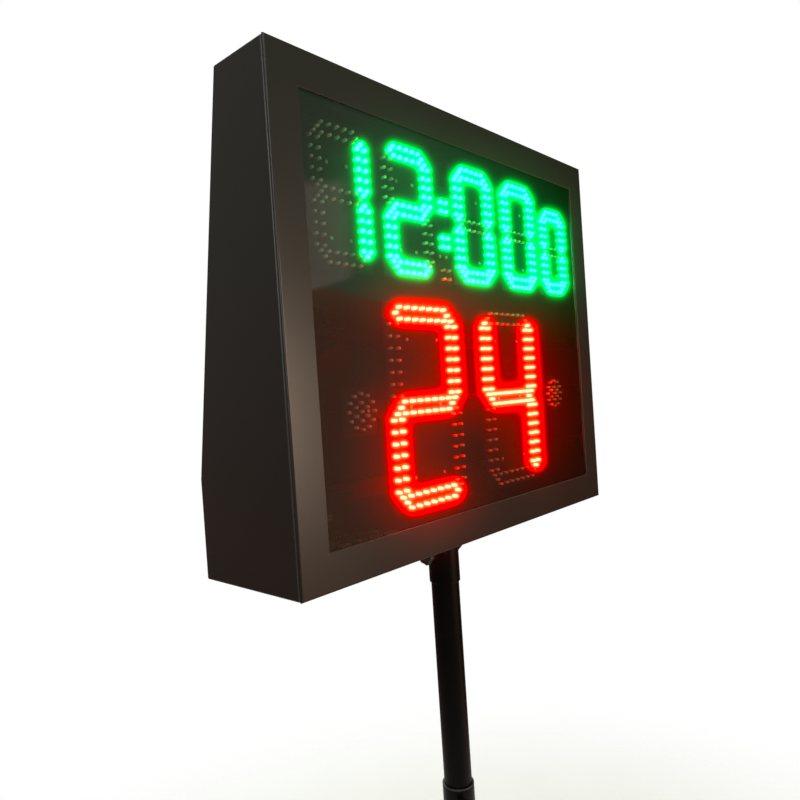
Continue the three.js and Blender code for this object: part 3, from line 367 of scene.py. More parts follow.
def finish_table():
    """Each finish's maker and looks."""
    colours, display = settings().colours, settings().display
    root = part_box("minute_tens_board")[1].y - BOARD_SHEET * MM
    tip = root - display.lens_height
    collar = (root + tip) / 2
    clear_green, clear_red = linear("d4e4cc"), linear("dcb8b0")
    even, lengthways = (1, 1, 1), (0.02, 1, 1)
    return {
        # Each powder coat's second-to-last colour is painted on its folds: partly wear of the
        # paint, partly a painted highlight
        "charcoal_powder_coat": (
            powder_coat, colours.cabinet, 0.33, 2.5, 0.25, linear("484742"), 0.36),
        "black_powder_coat": (powder_coat, colours.mast, 0.34, 3.0, 0.15, linear("1a1819"), 0.1),
        "smoked_acrylic": (smoked_acrylic, (0.68, 0.67, 0.65)),
        "black_abs": (moulded, colours.plastic, 0.42, 1.2, 0.3, 1.53),
        "grey_nylon": (moulded, linear("6a6c6e"), 0.4, 1.5, 0.15, 1.53),
        "epdm_rubber": (moulded, colours.rubber, 0.7, 1.0, 0.4),
        "red_polycarbonate": (moulded, colours.rocker, 0.22, 2.0, 0.08, 1.58),
        "cream_nylon": (moulded, linear("cfc8b0"), 0.45, 1.5, 0.15),
        "zinc_plated_steel": (bare_metal, colours.zinc, 0.34, 5.0, even),
        "nickel_plated_brass": (bare_metal, linear("c9c4b6"), 0.22, 3.0, even),
        "mill_finish_aluminium": (bare_metal, colours.aluminium, 0.38, 2.0, lengthways),
        "black_anodised_aluminium": (bare_metal, colours.rails, 0.5, 2.0, lengthways),
        "black_solder_mask": (solder_mask, colours.board, 0.6, 0.12),
        "green_solder_mask": (solder_mask, linear("14512c"), 0.28, 0.5),
        # Unlit lenses: their light tints, lightest at the dome, are partly a painted glint
        "green_led_unlit": (led_lens, clear_green, root, tip),
        "red_led_unlit": (led_lens, clear_red, root, tip),
        "green_led_lit": (
            led_glow, display.green, display.green_strength, clear_green, collar, tip, 0.05),
        "red_led_lit": (led_glow, display.red, display.red_strength, clear_red, root, collar, 0.75),
    }


def finish_named(name):
    """The material of one finish, made the first time that a piece asks for it."""
    if name not in bpy.data.materials:
        return new_material(name, *finish_table()[name])
    return bpy.data.materials[name]


# Shapes. Each returns a bmesh; sizes and places are in millimetres


def at(x, y, z, turn=HERE):
    """A place in millimetres, after an own turn."""
    return Matrix.Translation(Vector((x, y, z)) * MM) @ turn


def about(axis, degrees):
    return Matrix.Rotation(math.radians(degrees), 4, axis)


def facing(way):
    """Turns +Z to a direction."""
    return Vector(way).to_track_quat("Z", "Y").to_matrix().to_4x4()


def sharp_edges(shape, least=25, chosen=None):
    """Edges between two faces that meet at an angle, of those that chosen picks."""
    return [
        edge for edge in shape.edges
        if len(edge.link_faces) == 2 and edge.calc_face_angle(0) > math.radians(least)
        and (chosen is None or chosen(edge))
    ]


def upright_along(axis):
    """Picks the edges that run along an axis."""
    return lambda edge: abs((edge.verts[0].co - edge.verts[1].co).normalized()[axis]) > 0.99


def box_planes(low, high, sides):
    """The planes of a box's sides, such as "-x +x": each a point and a normal."""
    return [
        (high if side[0] == "+" else low, Vector([axis == side[1] for axis in "xyz"]))
        for side in sides.split()
    ]


def on_planes(planes, least):
    """Picks the edges that lie on at least so many of some planes."""

    def chosen(edge):
        middle = (edge.verts[0].co + edge.verts[1].co) / 2
        near = [abs((middle - point).dot(normal)) < 0.2 * MM for point, normal in planes]
        return sum(near) >= least

    return chosen


def round_edges(shape, edges, radius, segments=2):
    """Rounds edges to a radius in millimetres, and marks the new faces as folds, which the powder
    coat paints lighter: partly as wear of the paint, partly as a painted highlight.
    """
    fold = shape.faces.layers.float.get("fold") or shape.faces.layers.float.new("fold")
    made = bmesh.ops.bevel(
        shape, geom=edges, offset=radius * MM, offset_type="OFFSET", segments=segments,
        profile=0.5, affect="EDGES", clamp_overlap=True, material=-1
    )
    for face in made["faces"]:
        face[fold] = 1.0


def outward(shape):
    """Turns a new shape's faces outwards."""
    bmesh.ops.recalc_face_normals(shape, faces=shape.faces)
    return shape


def placed(shape, place):
    bmesh.ops.transform(shape, matrix=place, verts=shape.verts)
    return shape


def box_shape(low, high, radius, segments=2, chosen=None):
    """A block between two corners, with rounded edges."""
    shape = bmesh.new()
    low, high = Vector(low) * MM, Vector(high) * MM
    place = Matrix.Translation((low + high) / 2) @ Matrix.Diagonal((*(high - low), 1))
    bmesh.ops.create_cube(shape, size=1, matrix=place)
    round_edges(shape, sharp_edges(shape, chosen=chosen), radius, segments)
    return shape


def spin_round(shape, section, steps):
    """Spins a section of vertices and edges fully about Z, and closes its poles."""
    bmesh.ops.spin(shape, geom=section, cent=(0, 0, 0), axis=(0, 0, 1), angle=FULL_TURN,
                   steps=steps, use_merge=True)
    bmesh.ops.remove_doubles(shape, verts=shape.verts, dist=0.001 * MM)
    return outward(shape)


def turned_shape(section, steps):
    """A section of [radius, height], turned about Z. It closes unless it ends on the axis."""
    shape = bmesh.new()
    verts = [shape.verts.new((radius * MM, 0, height * MM)) for radius, height in section]
    pairs = list(zip(verts, verts[1:]))
    if section[-1][0]:
        pairs.append((verts[-1], verts[0]))
    return spin_round(shape, verts + [shape.edges.new(pair) for pair in pairs], steps)


def push_out(shape, faces, way):
    """Extrudes faces along a vector in millimetres."""
    made = bmesh.ops.extrude_face_region(shape, geom=faces)["geom"]
    moved = [item for item in made if isinstance(item, bmesh.types.BMVert)]
    bmesh.ops.translate(shape, vec=Vector(way) * MM, verts=moved)


def outline_shape(points, way):
    """A flat outline, pushed out along a vector."""
    shape = bmesh.new()
    face = shape.faces.new([shape.verts.new(Vector(point) * MM) for point in points])
    push_out(shape, [face], way)
    return shape


def web_shape(reach, rise, sheet, radius):
    """A three-cornered web in the XZ plane, its right angle at the origin."""
    corners = [(0, -sheet / 2, 0), (reach, -sheet / 2, 0), (0, -sheet / 2, rise)]
    shape = outline_shape(corners, (0, sheet, 0))
    round_edges(shape, sharp_edges(shape), radius)
    return shape


def prism_shape(radius, height, sides, foot, rim, segments):
    """A prism that stands upright on a height, its upper rim rounded."""
    shape = bmesh.new()
    bmesh.ops.create_cone(
        shape, cap_ends=True, segments=sides, radius1=radius * MM, radius2=radius * MM,
        depth=height * MM, matrix=at(0, 0, foot + height / 2)
    )
    upper = (foot + height * 0.9) * MM
    top = sharp_edges(shape, chosen=lambda edge: min(v.co.z for v in edge.verts) > upper)
    round_edges(shape, top, rim, segments)
    return shape


def screw_shape(head, height, sides=12):
    """A button head with a six-lobed socket, its flat side on Z = 0."""
    shape = prism_shape(head / 2, height, sides, 0, height * 0.7, 3)
    crown = max(shape.faces, key=lambda face: face.calc_center_median().z)
    bmesh.ops.inset_region(shape, faces=[crown], thickness=head * 0.06 * MM)
    for vert in list(crown.verts)[1::2]:
        vert.co.xy *= 0.72
    sunk = bmesh.ops.extrude_discrete_faces(shape, faces=[crown])["faces"][0]
    bmesh.ops.translate(shape, vec=(0, 0, -height * 0.55 * MM), verts=sunk.verts)
    return shape


def hex_bolt_shape(across, height, washer, washer_sheet):
    """A hexagon bolt head with a chamfered crown on its washer, standing on Z = 0."""
    ring = [(0, 0), (washer / 2, 0), (washer / 2, washer_sheet), (0, washer_sheet)]
    shape = turned_shape(ring, 24)
    stamp(shape, prism_shape(across / math.sqrt(3), height, 6, washer_sheet, height * 0.18, 2))
    return shape


def weld_shape(radius, bead, ripple=0.12):
    """A weld bead round Z, with the ripples that its drops leave."""
    shape = bmesh.new()
    steps = max(24, int(FULL_TURN * radius / bead) * 3)
    section = bmesh.ops.create_circle(
        shape, cap_ends=False, segments=8, radius=bead / 2 * MM, matrix=at(radius, 0, 0, TO_FRONT)
    )["verts"]
    edges = list({edge for vert in section for edge in vert.link_edges})
    spin_round(shape, section + edges, steps)
    for vert in shape.verts:
        turn = math.atan2(vert.co.y, vert.co.x)
        middle = Vector((math.cos(turn), math.sin(turn), 0)) * radius * MM
        vert.co = middle + (vert.co - middle) * (1 + ripple * math.sin(turn * steps / 3))
    return shape


def weld_line_shape(start, end, bead, ripple=0.12):
    """A straight weld bead from one point to another."""
    run = Vector(end) - Vector(start)
    steps = max(4, int(run.length / bead) * 3)
    shape = bmesh.new()
    bmesh.ops.create_circle(shape, cap_ends=True, segments=8, radius=bead / 2 * MM)
    for step in range(steps):
        top = max(shape.faces, key=lambda face: face.calc_center_median().z)
        made = bmesh.ops.extrude_discrete_faces(shape, faces=[top])["faces"][0]
        swell = 1 + ripple * math.sin(FULL_TURN * step / 3)
        for vert in made.verts:
            vert.co.z += run.length / steps * MM
            vert.co.xy = vert.co.xy.normalized() * bead / 2 * MM * swell
    return placed(shape, at(*start, facing(run)))


def stamp(whole, shape, places=(HERE,), slot=0):
    """Adds a shape to another one at every place, with its faces in a material slot."""
    for face in outward(shape).faces:
        face.material_index = slot
    mesh = bpy.data.meshes.new("stamp")
    shape.to_mesh(mesh)
    shape.free()
    for place in places:
        copy = mesh.copy()
        copy.transform(place)
        whole.from_mesh(copy)
        bpy.data.meshes.remove(copy)
    bpy.data.meshes.remove(mesh)


def cad_shape(node):
    """A copy of a CAD node's mesh, its loose triangles merged to whole faces."""
    shape = bmesh.new()
    shape.from_mesh(frame["nodes"][node].data)
    bmesh.ops.remove_doubles(shape, verts=shape.verts, dist=0.001 * MM)
    bmesh.ops.dissolve_limit(
        shape, angle_limit=math.radians(1), verts=shape.verts, edges=shape.edges
    )
    return shape


def rounded_cad(shape, node, sides, radius, least=60, extra=()):
    """Rounds a CAD node's shape where two of its box's sides or of some extra planes meet."""
    planes = [*box_planes(*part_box(node), sides), *extra]
    round_edges(shape, sharp_edges(shape, least, on_planes(planes, 2)), radius, 3)
    return shape


def node_box(node):
    """A CAD node's lowest and highest corners in millimetres."""
    low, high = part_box(node)
    return low / MM, high / MM


def node_middle(node):
    low, high = node_box(node)
    return (low + high) / 2


def node_heights(node):
    return [corner.z for corner in node_box(node)]


def joint_height(name):
    """The height of a joint's axis in millimetres."""
    return next(joint["pos_m"][2] for joint in frame["joints"] if joint["name"] == name) / MM


def make_piece(name, shape, body, slot, replaced, *finishes, smooth=35):
    """Turns a shape to an object that rides on a body, and stands for a CAD node if it has one."""
    mesh = bpy.data.meshes.new(name)
    shape.to_mesh(mesh)
    shape.free()
    for finish in finishes:
        mesh.materials.append(finish_named(finish))
    mesh.shade_smooth()
    mesh.set_sharp_from_angle(angle=math.radians(smooth))
    piece = bpy.data.objects.new(name, mesh)
    bpy.context.scene.collection.objects.link(piece)
    piece.modifiers.new("level_faces", "WEIGHTED_NORMAL").keep_sharp = True
    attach(piece, body)
    if replaced:
        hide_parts(replaced)


def dress(finish, *nodes):
    """Gives CAD nodes that keep their shape a better material."""
    for node in nodes:
        for slot in frame["nodes"][node].material_slots:
            slot.material = finish_named(finish)


# LED boards


def bar_places(x, z, count, pitch, upright):
    """One bar of a digit: two rows of LEDs and one LED at each end."""
    runs = [(step - (count - 1) / 2) * pitch for step in range(count)]
    places = [(run, side * pitch / 2) for run in runs for side in (-1, 1)]
    places += [(-count * pitch / 2, 0), (count * pitch / 2, 0)]
    return [(x + side, z + run) if upright else (x + run, z + side) for run, side in places]


def digit_places(left, bottom, count, pitch):
    """The LEDs of each of a digit's seven bars, from its left column and bottom row."""
    x, z = left + pitch / 2, bottom + pitch / 2
    step = (count + 1) * pitch
    level = [(name, 0.5, row) for row, name in enumerate("dga")]
    upright = [("e", 0, 0.5), ("f", 0, 1.5), ("c", 1, 0.5), ("b", 1, 1.5)]
    return {
        name: bar_places(x + column * step, z + row * step, count, pitch, bars is upright)
        for bars in (level, upright)
        for name, column, row in bars
    }


def led_shape():
    """A bullet LED with its collar, pointing along +Z. It has few faces, as there are 680."""
    display = settings().display
    radius, height = display.lens_diameter / 2 / MM, display.lens_height / MM
    section = [(radius + 0.4, 0), (radius + 0.4, 1), (radius, 1), (radius, height - radius),
               (radius * 0.72, height - radius * 0.32), (0, height)]
    return turned_shape(section, 8)


def make_board(name, colour, lit, unlit, screws):
    """One LED board: the plate with its screws, and the LEDs that stand on it."""
    node, slot = f"{name}_board", f"{colour}_led_board"
    low, high = node_box(node)
    front = high.y - BOARD_SHEET
    plate = bmesh.new()
    stamp(plate, box_shape((low.x, front, low.z), high, 3, 4, upright_along(1)))
    screw = screw_shape(settings().sheet.screw_head / MM * 0.7, 1.8)
    stamp(plate, screw, [at(x, front, z, TO_FRONT) for x, z in screws], 1)
    make_piece(f"{name}_plate", plate, "head", slot, node, "black_solder_mask", "zinc_plated_steel")
    lenses = bmesh.new()
    for index, points in enumerate((unlit, lit)):
        stamp(lenses, led_shape(), [at(x, front, z, TO_FRONT) for x, z in points], index)
    make_piece(f"{name}_leds", lenses, "head", slot, None,
               f"{colour}_led_unlit", f"{colour}_led_lit", smooth=60)


def make_digit(name, colour, shown, count, pitch, screw_side, rails):
    """A digit's board, with the bars of one figure lit and two screws at every rail."""
    low, high = node_box(f"{name}_board")
    bars = digit_places(low.x + BOARD_MARGIN, low.z + BOARD_MARGIN, count, pitch)
    lit, unlit = (
        [point for bar in SEGMENTS if (bar in LIT[shown]) == wanted for point in bars[bar]]
        for wanted in (True, False)
    )
    middle = (low.x + high.x) / 2
    heights = [node_middle(f"{rail}_rail").z for rail in rails]
    screws = [(middle + side, z) for z in heights for side in (-screw_side, screw_side)]
    make_board(name, colour, lit, unlit, screws)


class SHOTCLOCK_OT_clock_boards(bpy.types.Operator):
    """Make the green boards: four large digits, a small one, the colon and the decimal point"""

    bl_idname = "shotclock.clock_boards"
    bl_label = "Game clock boards"

    def execute(self, context):
        names = ("minute_tens", "minute_units", "second_tens", "second_units", "tenths")
        rails = ("clock_upper", "clock_lower")
        for name, shown in zip(names, settings().display.clock.ljust(5)):
            count = 4 if name == "tenths" else 5
            make_digit(name, "green", shown, count, CLOCK_PITCH, CLOCK_SCREWS, rails)
        middle, half = node_middle("colon_board").x, CLOCK_PITCH / 2
        lower, upper, point = (
            [(middle + x, height + z) for x in (-half, half) for z in (-half, half)]
            for height in COLON_HEIGHTS
        )
        rail = node_middle("clock_lower_rail").z
        screws = [(middle + side, rail) for side in (-COLON_SCREWS, COLON_SCREWS)]
        make_board("colon", "green", lower + upper, point, screws)
        return {"FINISHED"}


class SHOTCLOCK_OT_shot_boards(bpy.types.Operator):
    """Make the red boards: two large digits and a round lamp at each side"""

    bl_idname = "shotclock.shot_boards"
    bl_label = "Shot clock boards"

    def execute(self, context):
        rails = ("shot_upper", "shot_middle", "shot_lower")
        for name, shown in zip(("shot_tens", "shot_units"), settings().display.shot.ljust(2)):
            make_digit(name, "red", shown, 7, SHOT_PITCH, SHOT_SCREWS, rails)
        for name in ("left_lamp", "right_lamp"):
            middle = node_middle(f"{name}_board")
            x, z = middle.x, middle.z
            points = [(x, z)]
            for radius, count in LAMP_RINGS:
                for step in range(count):
                    turn = FULL_TURN * step / count + math.pi / 2
                    points.append((x + radius * math.cos(turn), z + radius * math.sin(turn)))
            screws = [(x + side, z) for side in (-LAMP_SCREWS, LAMP_SCREWS)]
            make_board(name, "red", [], points, screws)
        return {"FINISHED"}


# Cabinet


class SHOTCLOCK_OT_cabinet(bpy.types.Operator):
    """Make the folded shell and the front bezel, and finish the gasket, window clips and rails"""

    bl_idname = "shotclock.cabinet"
    bl_label = "Cabinet and bezel"

    def execute(self, context):
        slope = (BEND, Vector((0, math.cos(SLOPE_ANGLE), math.sin(SLOPE_ANGLE))))
        shell = rounded_cad(cad_shape("cabinet_shell"), "cabinet_shell", "-x +x -z +z -y +y",
                            settings().sheet.fold_radius / MM, 8, [slope])
        make_piece("cabinet_folded_shell", shell, "head", "cabinet_paint", "cabinet_shell",
                   "charcoal_powder_coat")
        bezel = cad_shape("front_bezel")
        low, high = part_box("front_bezel")
        rim = BEZEL_RIM * MM
        opening = on_planes(box_planes(low + rim, high - rim, "-x +x -z +z"), 1)
        front = on_planes(box_planes(low, high, "-y"), 1)
        lip = sharp_edges(bezel, 60, lambda edge: opening(edge) and front(edge))
        round_edges(bezel, lip, 0.8)
        make_piece("bezel_folded_cover", bezel, "head", "cabinet_paint", "front_bezel",
                   "charcoal_powder_coat")
        dress("epdm_rubber", "bezel_gasket")
        sides = ("bottom", "top", "left", "right")
        dress("zinc_plated_steel", *(f"window_clip_{side}" for side in sides))
        rails = [name for name in frame["nodes"] if name.endswith("_rail")]
        dress("black_anodised_aluminium", *rails)
        return {"FINISHED"}


class SHOTCLOCK_OT_window(bpy.types.Operator):
    """Make the smoked window sheet with its broken edges"""

    bl_idname = "shotclock.window"
    bl_label = "Smoked window"

    def execute(self, context):
        sheet = box_shape(*node_box("window"), settings().sheet.edge_break / MM)
        make_piece("smoked_window_sheet", outward(sheet), "head", "smoked_window", "window",
                   "smoked_acrylic")
        return {"FINISHED"}


class SHOTCLOCK_OT_back_panel(bpy.types.Operator):
    """Make the louvred back panel with its screws, and the horn behind its grille"""

    bl_idname = "shotclock.back_panel"
    bl_label = "Back panel and horn"

    def execute(self, context):
        make_piece("louvred_back_panel", cad_shape("back_panel"), "head", "cabinet_paint",
                   "back_panel", "charcoal_powder_coat")
        side, low = BACK_SCREWS
        high = SLOPE_LENGTH - low
        across = [-side + 2 * side * step / 5 for step in range(6)]
        upward = [low + (high - low) * step / 4 for step in (1, 2, 3)]
        spots = [(x, z) for x in across for z in (low, high)]
        spots += [(x, z) for x in (-side, side) for z in upward]
        screws = bmesh.new()
        stamp(screws, screw_shape(settings().sheet.screw_head / MM, 2.6),
              [SLOPE @ at(x, BACK_PANEL_FACE, z, TO_BACK) for x, z in spots])
        make_piece("back_panel_screws", screws, "head", "zinc_steel", None, "zinc_plated_steel")
        flare = [(39, 0), (45, 0), (46, 0.6), (46, 1.6), (45.4, 2), (41, 2), (30, 14), (20, 24),
                 (15.4, 30), (15, 46), (19, 46), (20, 47), (20, 65), (19, 66), (0, 66), (0, 46),
                 (13, 46), (13, 28), (18, 21), (28, 11)]
        place = SLOPE @ at(HORN_SIDE, 0, HORN_RISE * SLOPE_LENGTH, TO_FRONT)
        make_piece("horn_flare", placed(turned_shape(flare, 48), place), "head", "black_plastic",
                   "horn", "black_abs")
        return {"FINISHED"}


def make_lock(steps):
    low, high = node_box("hatch_lock_barrel")
    length = high.y - low.y
    place = at((low.x + high.x) / 2, low.y, (low.z + high.z) / 2, TO_BACK)
    barrel = [(5, 0.4), (5.4, 0), (7.6, 0), (8, 0.4), (8, length - 2), (11, length - 2),
              (11, length - 0.7), (10.3, length), (5.4, length), (5, length - 0.4)]
    make_piece("lock_barrel", placed(turned_shape(barrel, steps), place), "hatch", "zinc_steel",
               "hatch_lock_barrel", "nickel_plated_brass")
    tail, tip = (corner.y - low.y for corner in node_box("hatch_lock_core"))
    crown = length + 0.3
    core = turned_shape(
        [(0, tail), (4.3, tail), (4.7, tail + 0.4), (4.7, crown), (9.9, crown),
         (10.7, crown + 0.3), (10.7, crown + 0.6), (10.2, crown + 1), (0, crown + 1)], steps
    )
    stamp(core, box_shape((-9, -2, crown + 0.8), (9, 2, tip), 1.4, 3))
    stamp(core, box_shape((0, -5, tail), (24, 5, tail + 2), 0.5))
    make_piece("lock_core_with_cam", placed(core, place), "hatch_lock", "zinc_steel",
               "hatch_lock_core", "nickel_plated_brass")


class SHOTCLOCK_OT_hatch(bpy.types.Operator):
    """Make the service hatch, its hinge with rivets, and its cam lock"""

    bl_idname = "shotclock.hatch"
    bl_label = "Service hatch"

    def execute(self, context):
        hatch = rounded_cad(cad_shape("service_hatch"), "service_hatch", "-x +x -z +y", 1.4)
        make_piece("hatch_door", hatch, "hatch", "cabinet_paint", "service_hatch",
                   "charcoal_powder_coat")
        make_piece("hinge_fixed_leaf", cad_shape("hatch_hinge_leaf"), "head", "cabinet_paint",
                   "hatch_hinge_leaf", "charcoal_powder_coat")
        low, high = node_box("hatch_hinge_leaf")
        inset, sheet = 18, 1.5
        run = high.x - low.x - 2 * inset
        rivets = bmesh.new()
        dome = [(0, 0), (3, 0), (3, 0.5), (2.4, 1.2), (1.3, 1.5), (1.1, 1.0), (0, 1.0)]
        stamp(rivets, turned_shape(dome, 16), [
            at(low.x + inset + run * step / 4, low.y + sheet, high.z - 6.5, TO_BACK)
            for step in range(5)
        ])
        make_piece("hinge_rivets", rivets, "head", "zinc_steel", None, "zinc_plated_steel")
        dress("zinc_plated_steel", "hatch_hinge_pin")
        make_lock(settings().sheet.tube_steps // 2)
        return {"FINISHED"}


def mark_pins(inlet, low, high):
    """Gives the pins in the inlet's recess their metal: small faces near its middle."""
    middle = (low + high) / 2
    for face in inlet.faces:
        centre = face.calc_center_median()
        in_recess = abs(centre.x - middle.x) < 9 * MM and abs(centre.z - middle.z) < 5 * MM
        span = max((a.co - b.co).length for a in face.verts for b in face.verts)
        if in_recess and span < 13 * MM and centre.y > high.y - 17.5 * MM:
            face.material_index = 1


def make_rocker():
    length, width, depth, crown = 20, 13, 6, 2.6
    side = [(-depth, -length * 0.42), (0, -length / 2), (crown, -length / 2), (crown / 2, 0),
            (crown, length / 2), (0, length / 2), (-depth, length * 0.42)]
    rocker = outward(outline_shape([(-width / 2, y, z) for y, z in side], (width, 0, 0)))
    round_edges(rocker, sharp_edges(rocker, 30), 0.6, 3)
    slope = math.degrees(math.atan2(crown / 2, length / 2))
    rise, reach, relief = crown * 0.78, length * 0.28, 0.25
    bar = box_shape((-0.5, -relief, -2.6), (0.5, relief, 2.6), 0.15, 1)
    ring = turned_shape([(1.9, -relief), (2.9, -relief), (2.9, relief), (1.9, relief)], 24)
    stamp(rocker, bar, [at(0, rise, reach, about("X", -slope))], 1)
    stamp(rocker, ring, [at(0, rise, -reach, about("X", slope - 90))], 1)
    front = node_box("switch_housing")[1].y
    place = at(ROCKER_SIDE, front, ROCKER_HEIGHT, about("X", ROCKER_TILT))
    make_piece("rocker_with_marks", placed(rocker, place), "rocker", "red_plastic",
               "switch_rocker", "red_polycarbonate", "cream_nylon")


class SHOTCLOCK_OT_power_entry(bpy.types.Operator):
    """Make the mains inlet with its pins, and the rocker switch with its marks"""

    bl_idname = "shotclock.power_entry"
    bl_label = "Mains inlet and switch"

    def execute(self, context):
        for name, node, *finishes in (
            ("inlet_with_pins", "mains_inlet", "black_abs", "nickel_plated_brass"),
            ("switch_frame", "switch_housing", "black_abs"),
        ):
            case = cad_shape(node)
            if node == "mains_inlet":
                mark_pins(case, *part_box(node))
            rounded_cad(case, node, "-x +x -z +z +y", settings().sheet.edge_break / MM * 2)
            make_piece(name, case, "head", "black_plastic", node, *finishes)
        make_rocker()
        return {"FINISHED"}


def make_controller():
    low, high = node_box("control_board")
    middle = (low + high) / 2
    inset, post_height = 8, 10
    deck = low.z + post_height
    top = deck + BOARD_SHEET
    board = bmesh.new()
    plate_low, plate_high = (low.x, low.y, deck), (high.x, high.y, top)
    stamp(board, box_shape(plate_low, plate_high, 3, 4, upright_along(2)))
    across, along = ((low[axis] + inset, high[axis] - inset) for axis in (0, 1))
    corners = [(x, y) for x in across for y in along]
    post = turned_shape([(0, 0), (4, 0), (4, post_height), (0, post_height)], 6)
    stamp(board, post, [at(x, y, low.z) for x, y in corners], 1)
    stamp(board, screw_shape(6, 2), [at(x, y, top) for x, y in corners], 1)
    x, y = middle.x - 20, middle.y
    chip = box_shape((x - 12, y - 12, top + 0.3), (x + 12, y + 12, top + 3), 0.5)
    stamp(board, chip, slot=2)
    leg = box_shape((-1.3, -0.3, -0.7), (1.3, 0.3, 0.4), 0.1, 1)
    stamp(board, leg, [
        at(x + side * 12.6, y - 10.5 + step * 1.5, top + 0.7)
        for side in (-1, 1)
        for step in range(15)
    ], 1)
    x, y = middle.x + 10, middle.y + 34
    stamp(board, box_shape((x - 13, y, top), (x + 13, y + 9, top + 6), 0.4), slot=3)
    lever = box_shape((-0.8, -1.2, 0), (0.8, 1.2, 0.8), 0.2, 1)
    stamp(board, lever, [
        at(x - 10.5 + step * 3, y + (2.6 if step % 3 else 5.4), top + 6) for step in range(8)
    ], 4)
    y = middle.y - 40
    for step in range(4):
        x = middle.x + (step - 1.5) * 34
        stamp(board, box_shape((x - 11, y, top), (x + 11, y + 11, top + 12), 0.6), slot=4)
        ways = [at(x - 7.5 + way * 5, y + 5.5, top + 12) for way in range(4)]
        stamp(board, screw_shape(3.4, 0.6, 8), ways, 1)
    can = turned_shape([(0, 0), (4, 0), (4, 9.4), (3.4, 10), (0, 10)], 16)
    cans = ((24, -12), (36, -12), (58, -16))
    stamp(board, can, [at(middle.x + x, middle.y + y, top) for x, y in cans], 2)
    make_piece(
        "control_board_with_parts", board, "head", "electronics", "control_board",
        "green_solder_mask", "nickel_plated_brass", "black_abs", "red_polycarbonate",
        "cream_nylon"
    )


class SHOTCLOCK_OT_electronics(bpy.types.Operator):
    """Make the power supply, the control board and the radio module on the cabinet's floor"""

    bl_idname = "shotclock.electronics"
    bl_label = "Electronics"

    def execute(self, context):
        low, high = node_box("power_supply")
        supply = cad_shape("power_supply")
        wall, ways = 1.2, 7
        pitch = (high.y - low.y - 2 * wall) / ways
        rows = [low.y + wall + pitch * (step + 0.5) for step in range(ways)]
        stamp(supply, screw_shape(6.4, 3), [at(low.x + 8.6, y, high.z - 15) for y in rows], 1)
        lugs = [(x, y) for x in (low.x + 30, high.x - 12) for y in (low.y + 12, high.y - 12)]
        stamp(supply, screw_shape(5, 1.6), [at(x, y, high.z) for x, y in lugs], 1)
        make_piece("power_supply_case", supply, "head", "electronics", "power_supply",
                   "mill_finish_aluminium", "zinc_plated_steel")
        make_controller()
        can = outward(box_shape(*node_box("radio_module"), 0.6))
        make_piece("radio_screening_can", can, "head", "electronics", "radio_module",
                   "zinc_plated_steel")
        dress("zinc_plated_steel", "socket_backing_plate")
        return {"FINISHED"}


# Mast and base


def boss_shape(bore, start, steps):
    """A knob's drilled boss along +Z, its outer edges chamfered."""
    section = [(bore, start), (KNOB_BOSS, start), (KNOB_BOSS, KNOB_REACH - 0.8),
               (KNOB_BOSS - 0.8, KNOB_REACH), (bore + 0.4, KNOB_REACH), (bore, KNOB_REACH - 0.4)]
    return turned_shape(section, steps)


def make_socket(steps, bead):
    foot, top = node_heights("mast_socket")
    under = top - 5
    socket = bmesh.new()
    stamp(socket, box_shape((-80, -65, under), (80, 65, top), 6, 4, upright_along(2)))
    sleeve = [(25.5, foot), (27.1, foot), (27.5, foot + 0.4), (27.5, under), (25.5, under)]
    stamp(socket, turned_shape(sleeve, steps))
    stamp(socket, weld_shape(27.5, bead), [at(0, 0, under)])
    ways = [about("Z", turn) for turn in (45, 135, 225, 315)]
    web = web_shape(34, -36, 4, 0.5)
    stamp(socket, web, [way @ at(26.5, 0, under + 0.5) for way in ways])
    for side in (-2, 2):
        for start, end in (
            ((27.3, side, under - 34), (27.3, side, under - 2)),
            ((29, side, under), (59, side, under)),
        ):
            stamp(socket, weld_line_shape(start, end, bead * 0.7), ways)
    height, way = joint_height("head_knob_turn"), facing((-1, 0, 0))
    stamp(socket, boss_shape(4.6, 26, steps // 2), [at(0, 0, height, way)])
    stamp(socket, weld_shape(KNOB_BOSS, bead * 0.8), [at(-27.2, 0, height, way)])
    bolts = [at(x, y, under, UPSIDE_DOWN) for x in (-66, 66) for y in (-50, 50)]
    stamp(socket, hex_bolt_shape(10, 4, 15, 1.2), bolts, 1)
    make_piece("welded_mast_socket", socket, "head", "mast_paint", "mast_socket",
               "black_powder_coat", "zinc_plated_steel")


def make_lower(steps, bead):
    foot, top = node_heights("lower_tube")
    tube = [(26.5, foot), (28.5, foot), (28.5, top - 0.4), (28.1, top), (26.5, top)]
    lower = turned_shape(tube, steps)
    way, out = about("Z", MAST_KNOB_WAY), facing((1, 0, 0))
    height = joint_height("mast_knob_turn")
    stamp(lower, boss_shape(4.3, 27, steps // 2), [way @ at(0, 0, height, out)])
    stamp(lower, weld_shape(KNOB_BOSS, bead * 0.8), [way @ at(28, 0, height, out)])
    make_piece("lower_mast_tube", lower, "base", "mast_paint", "lower_tube",
               "black_powder_coat")


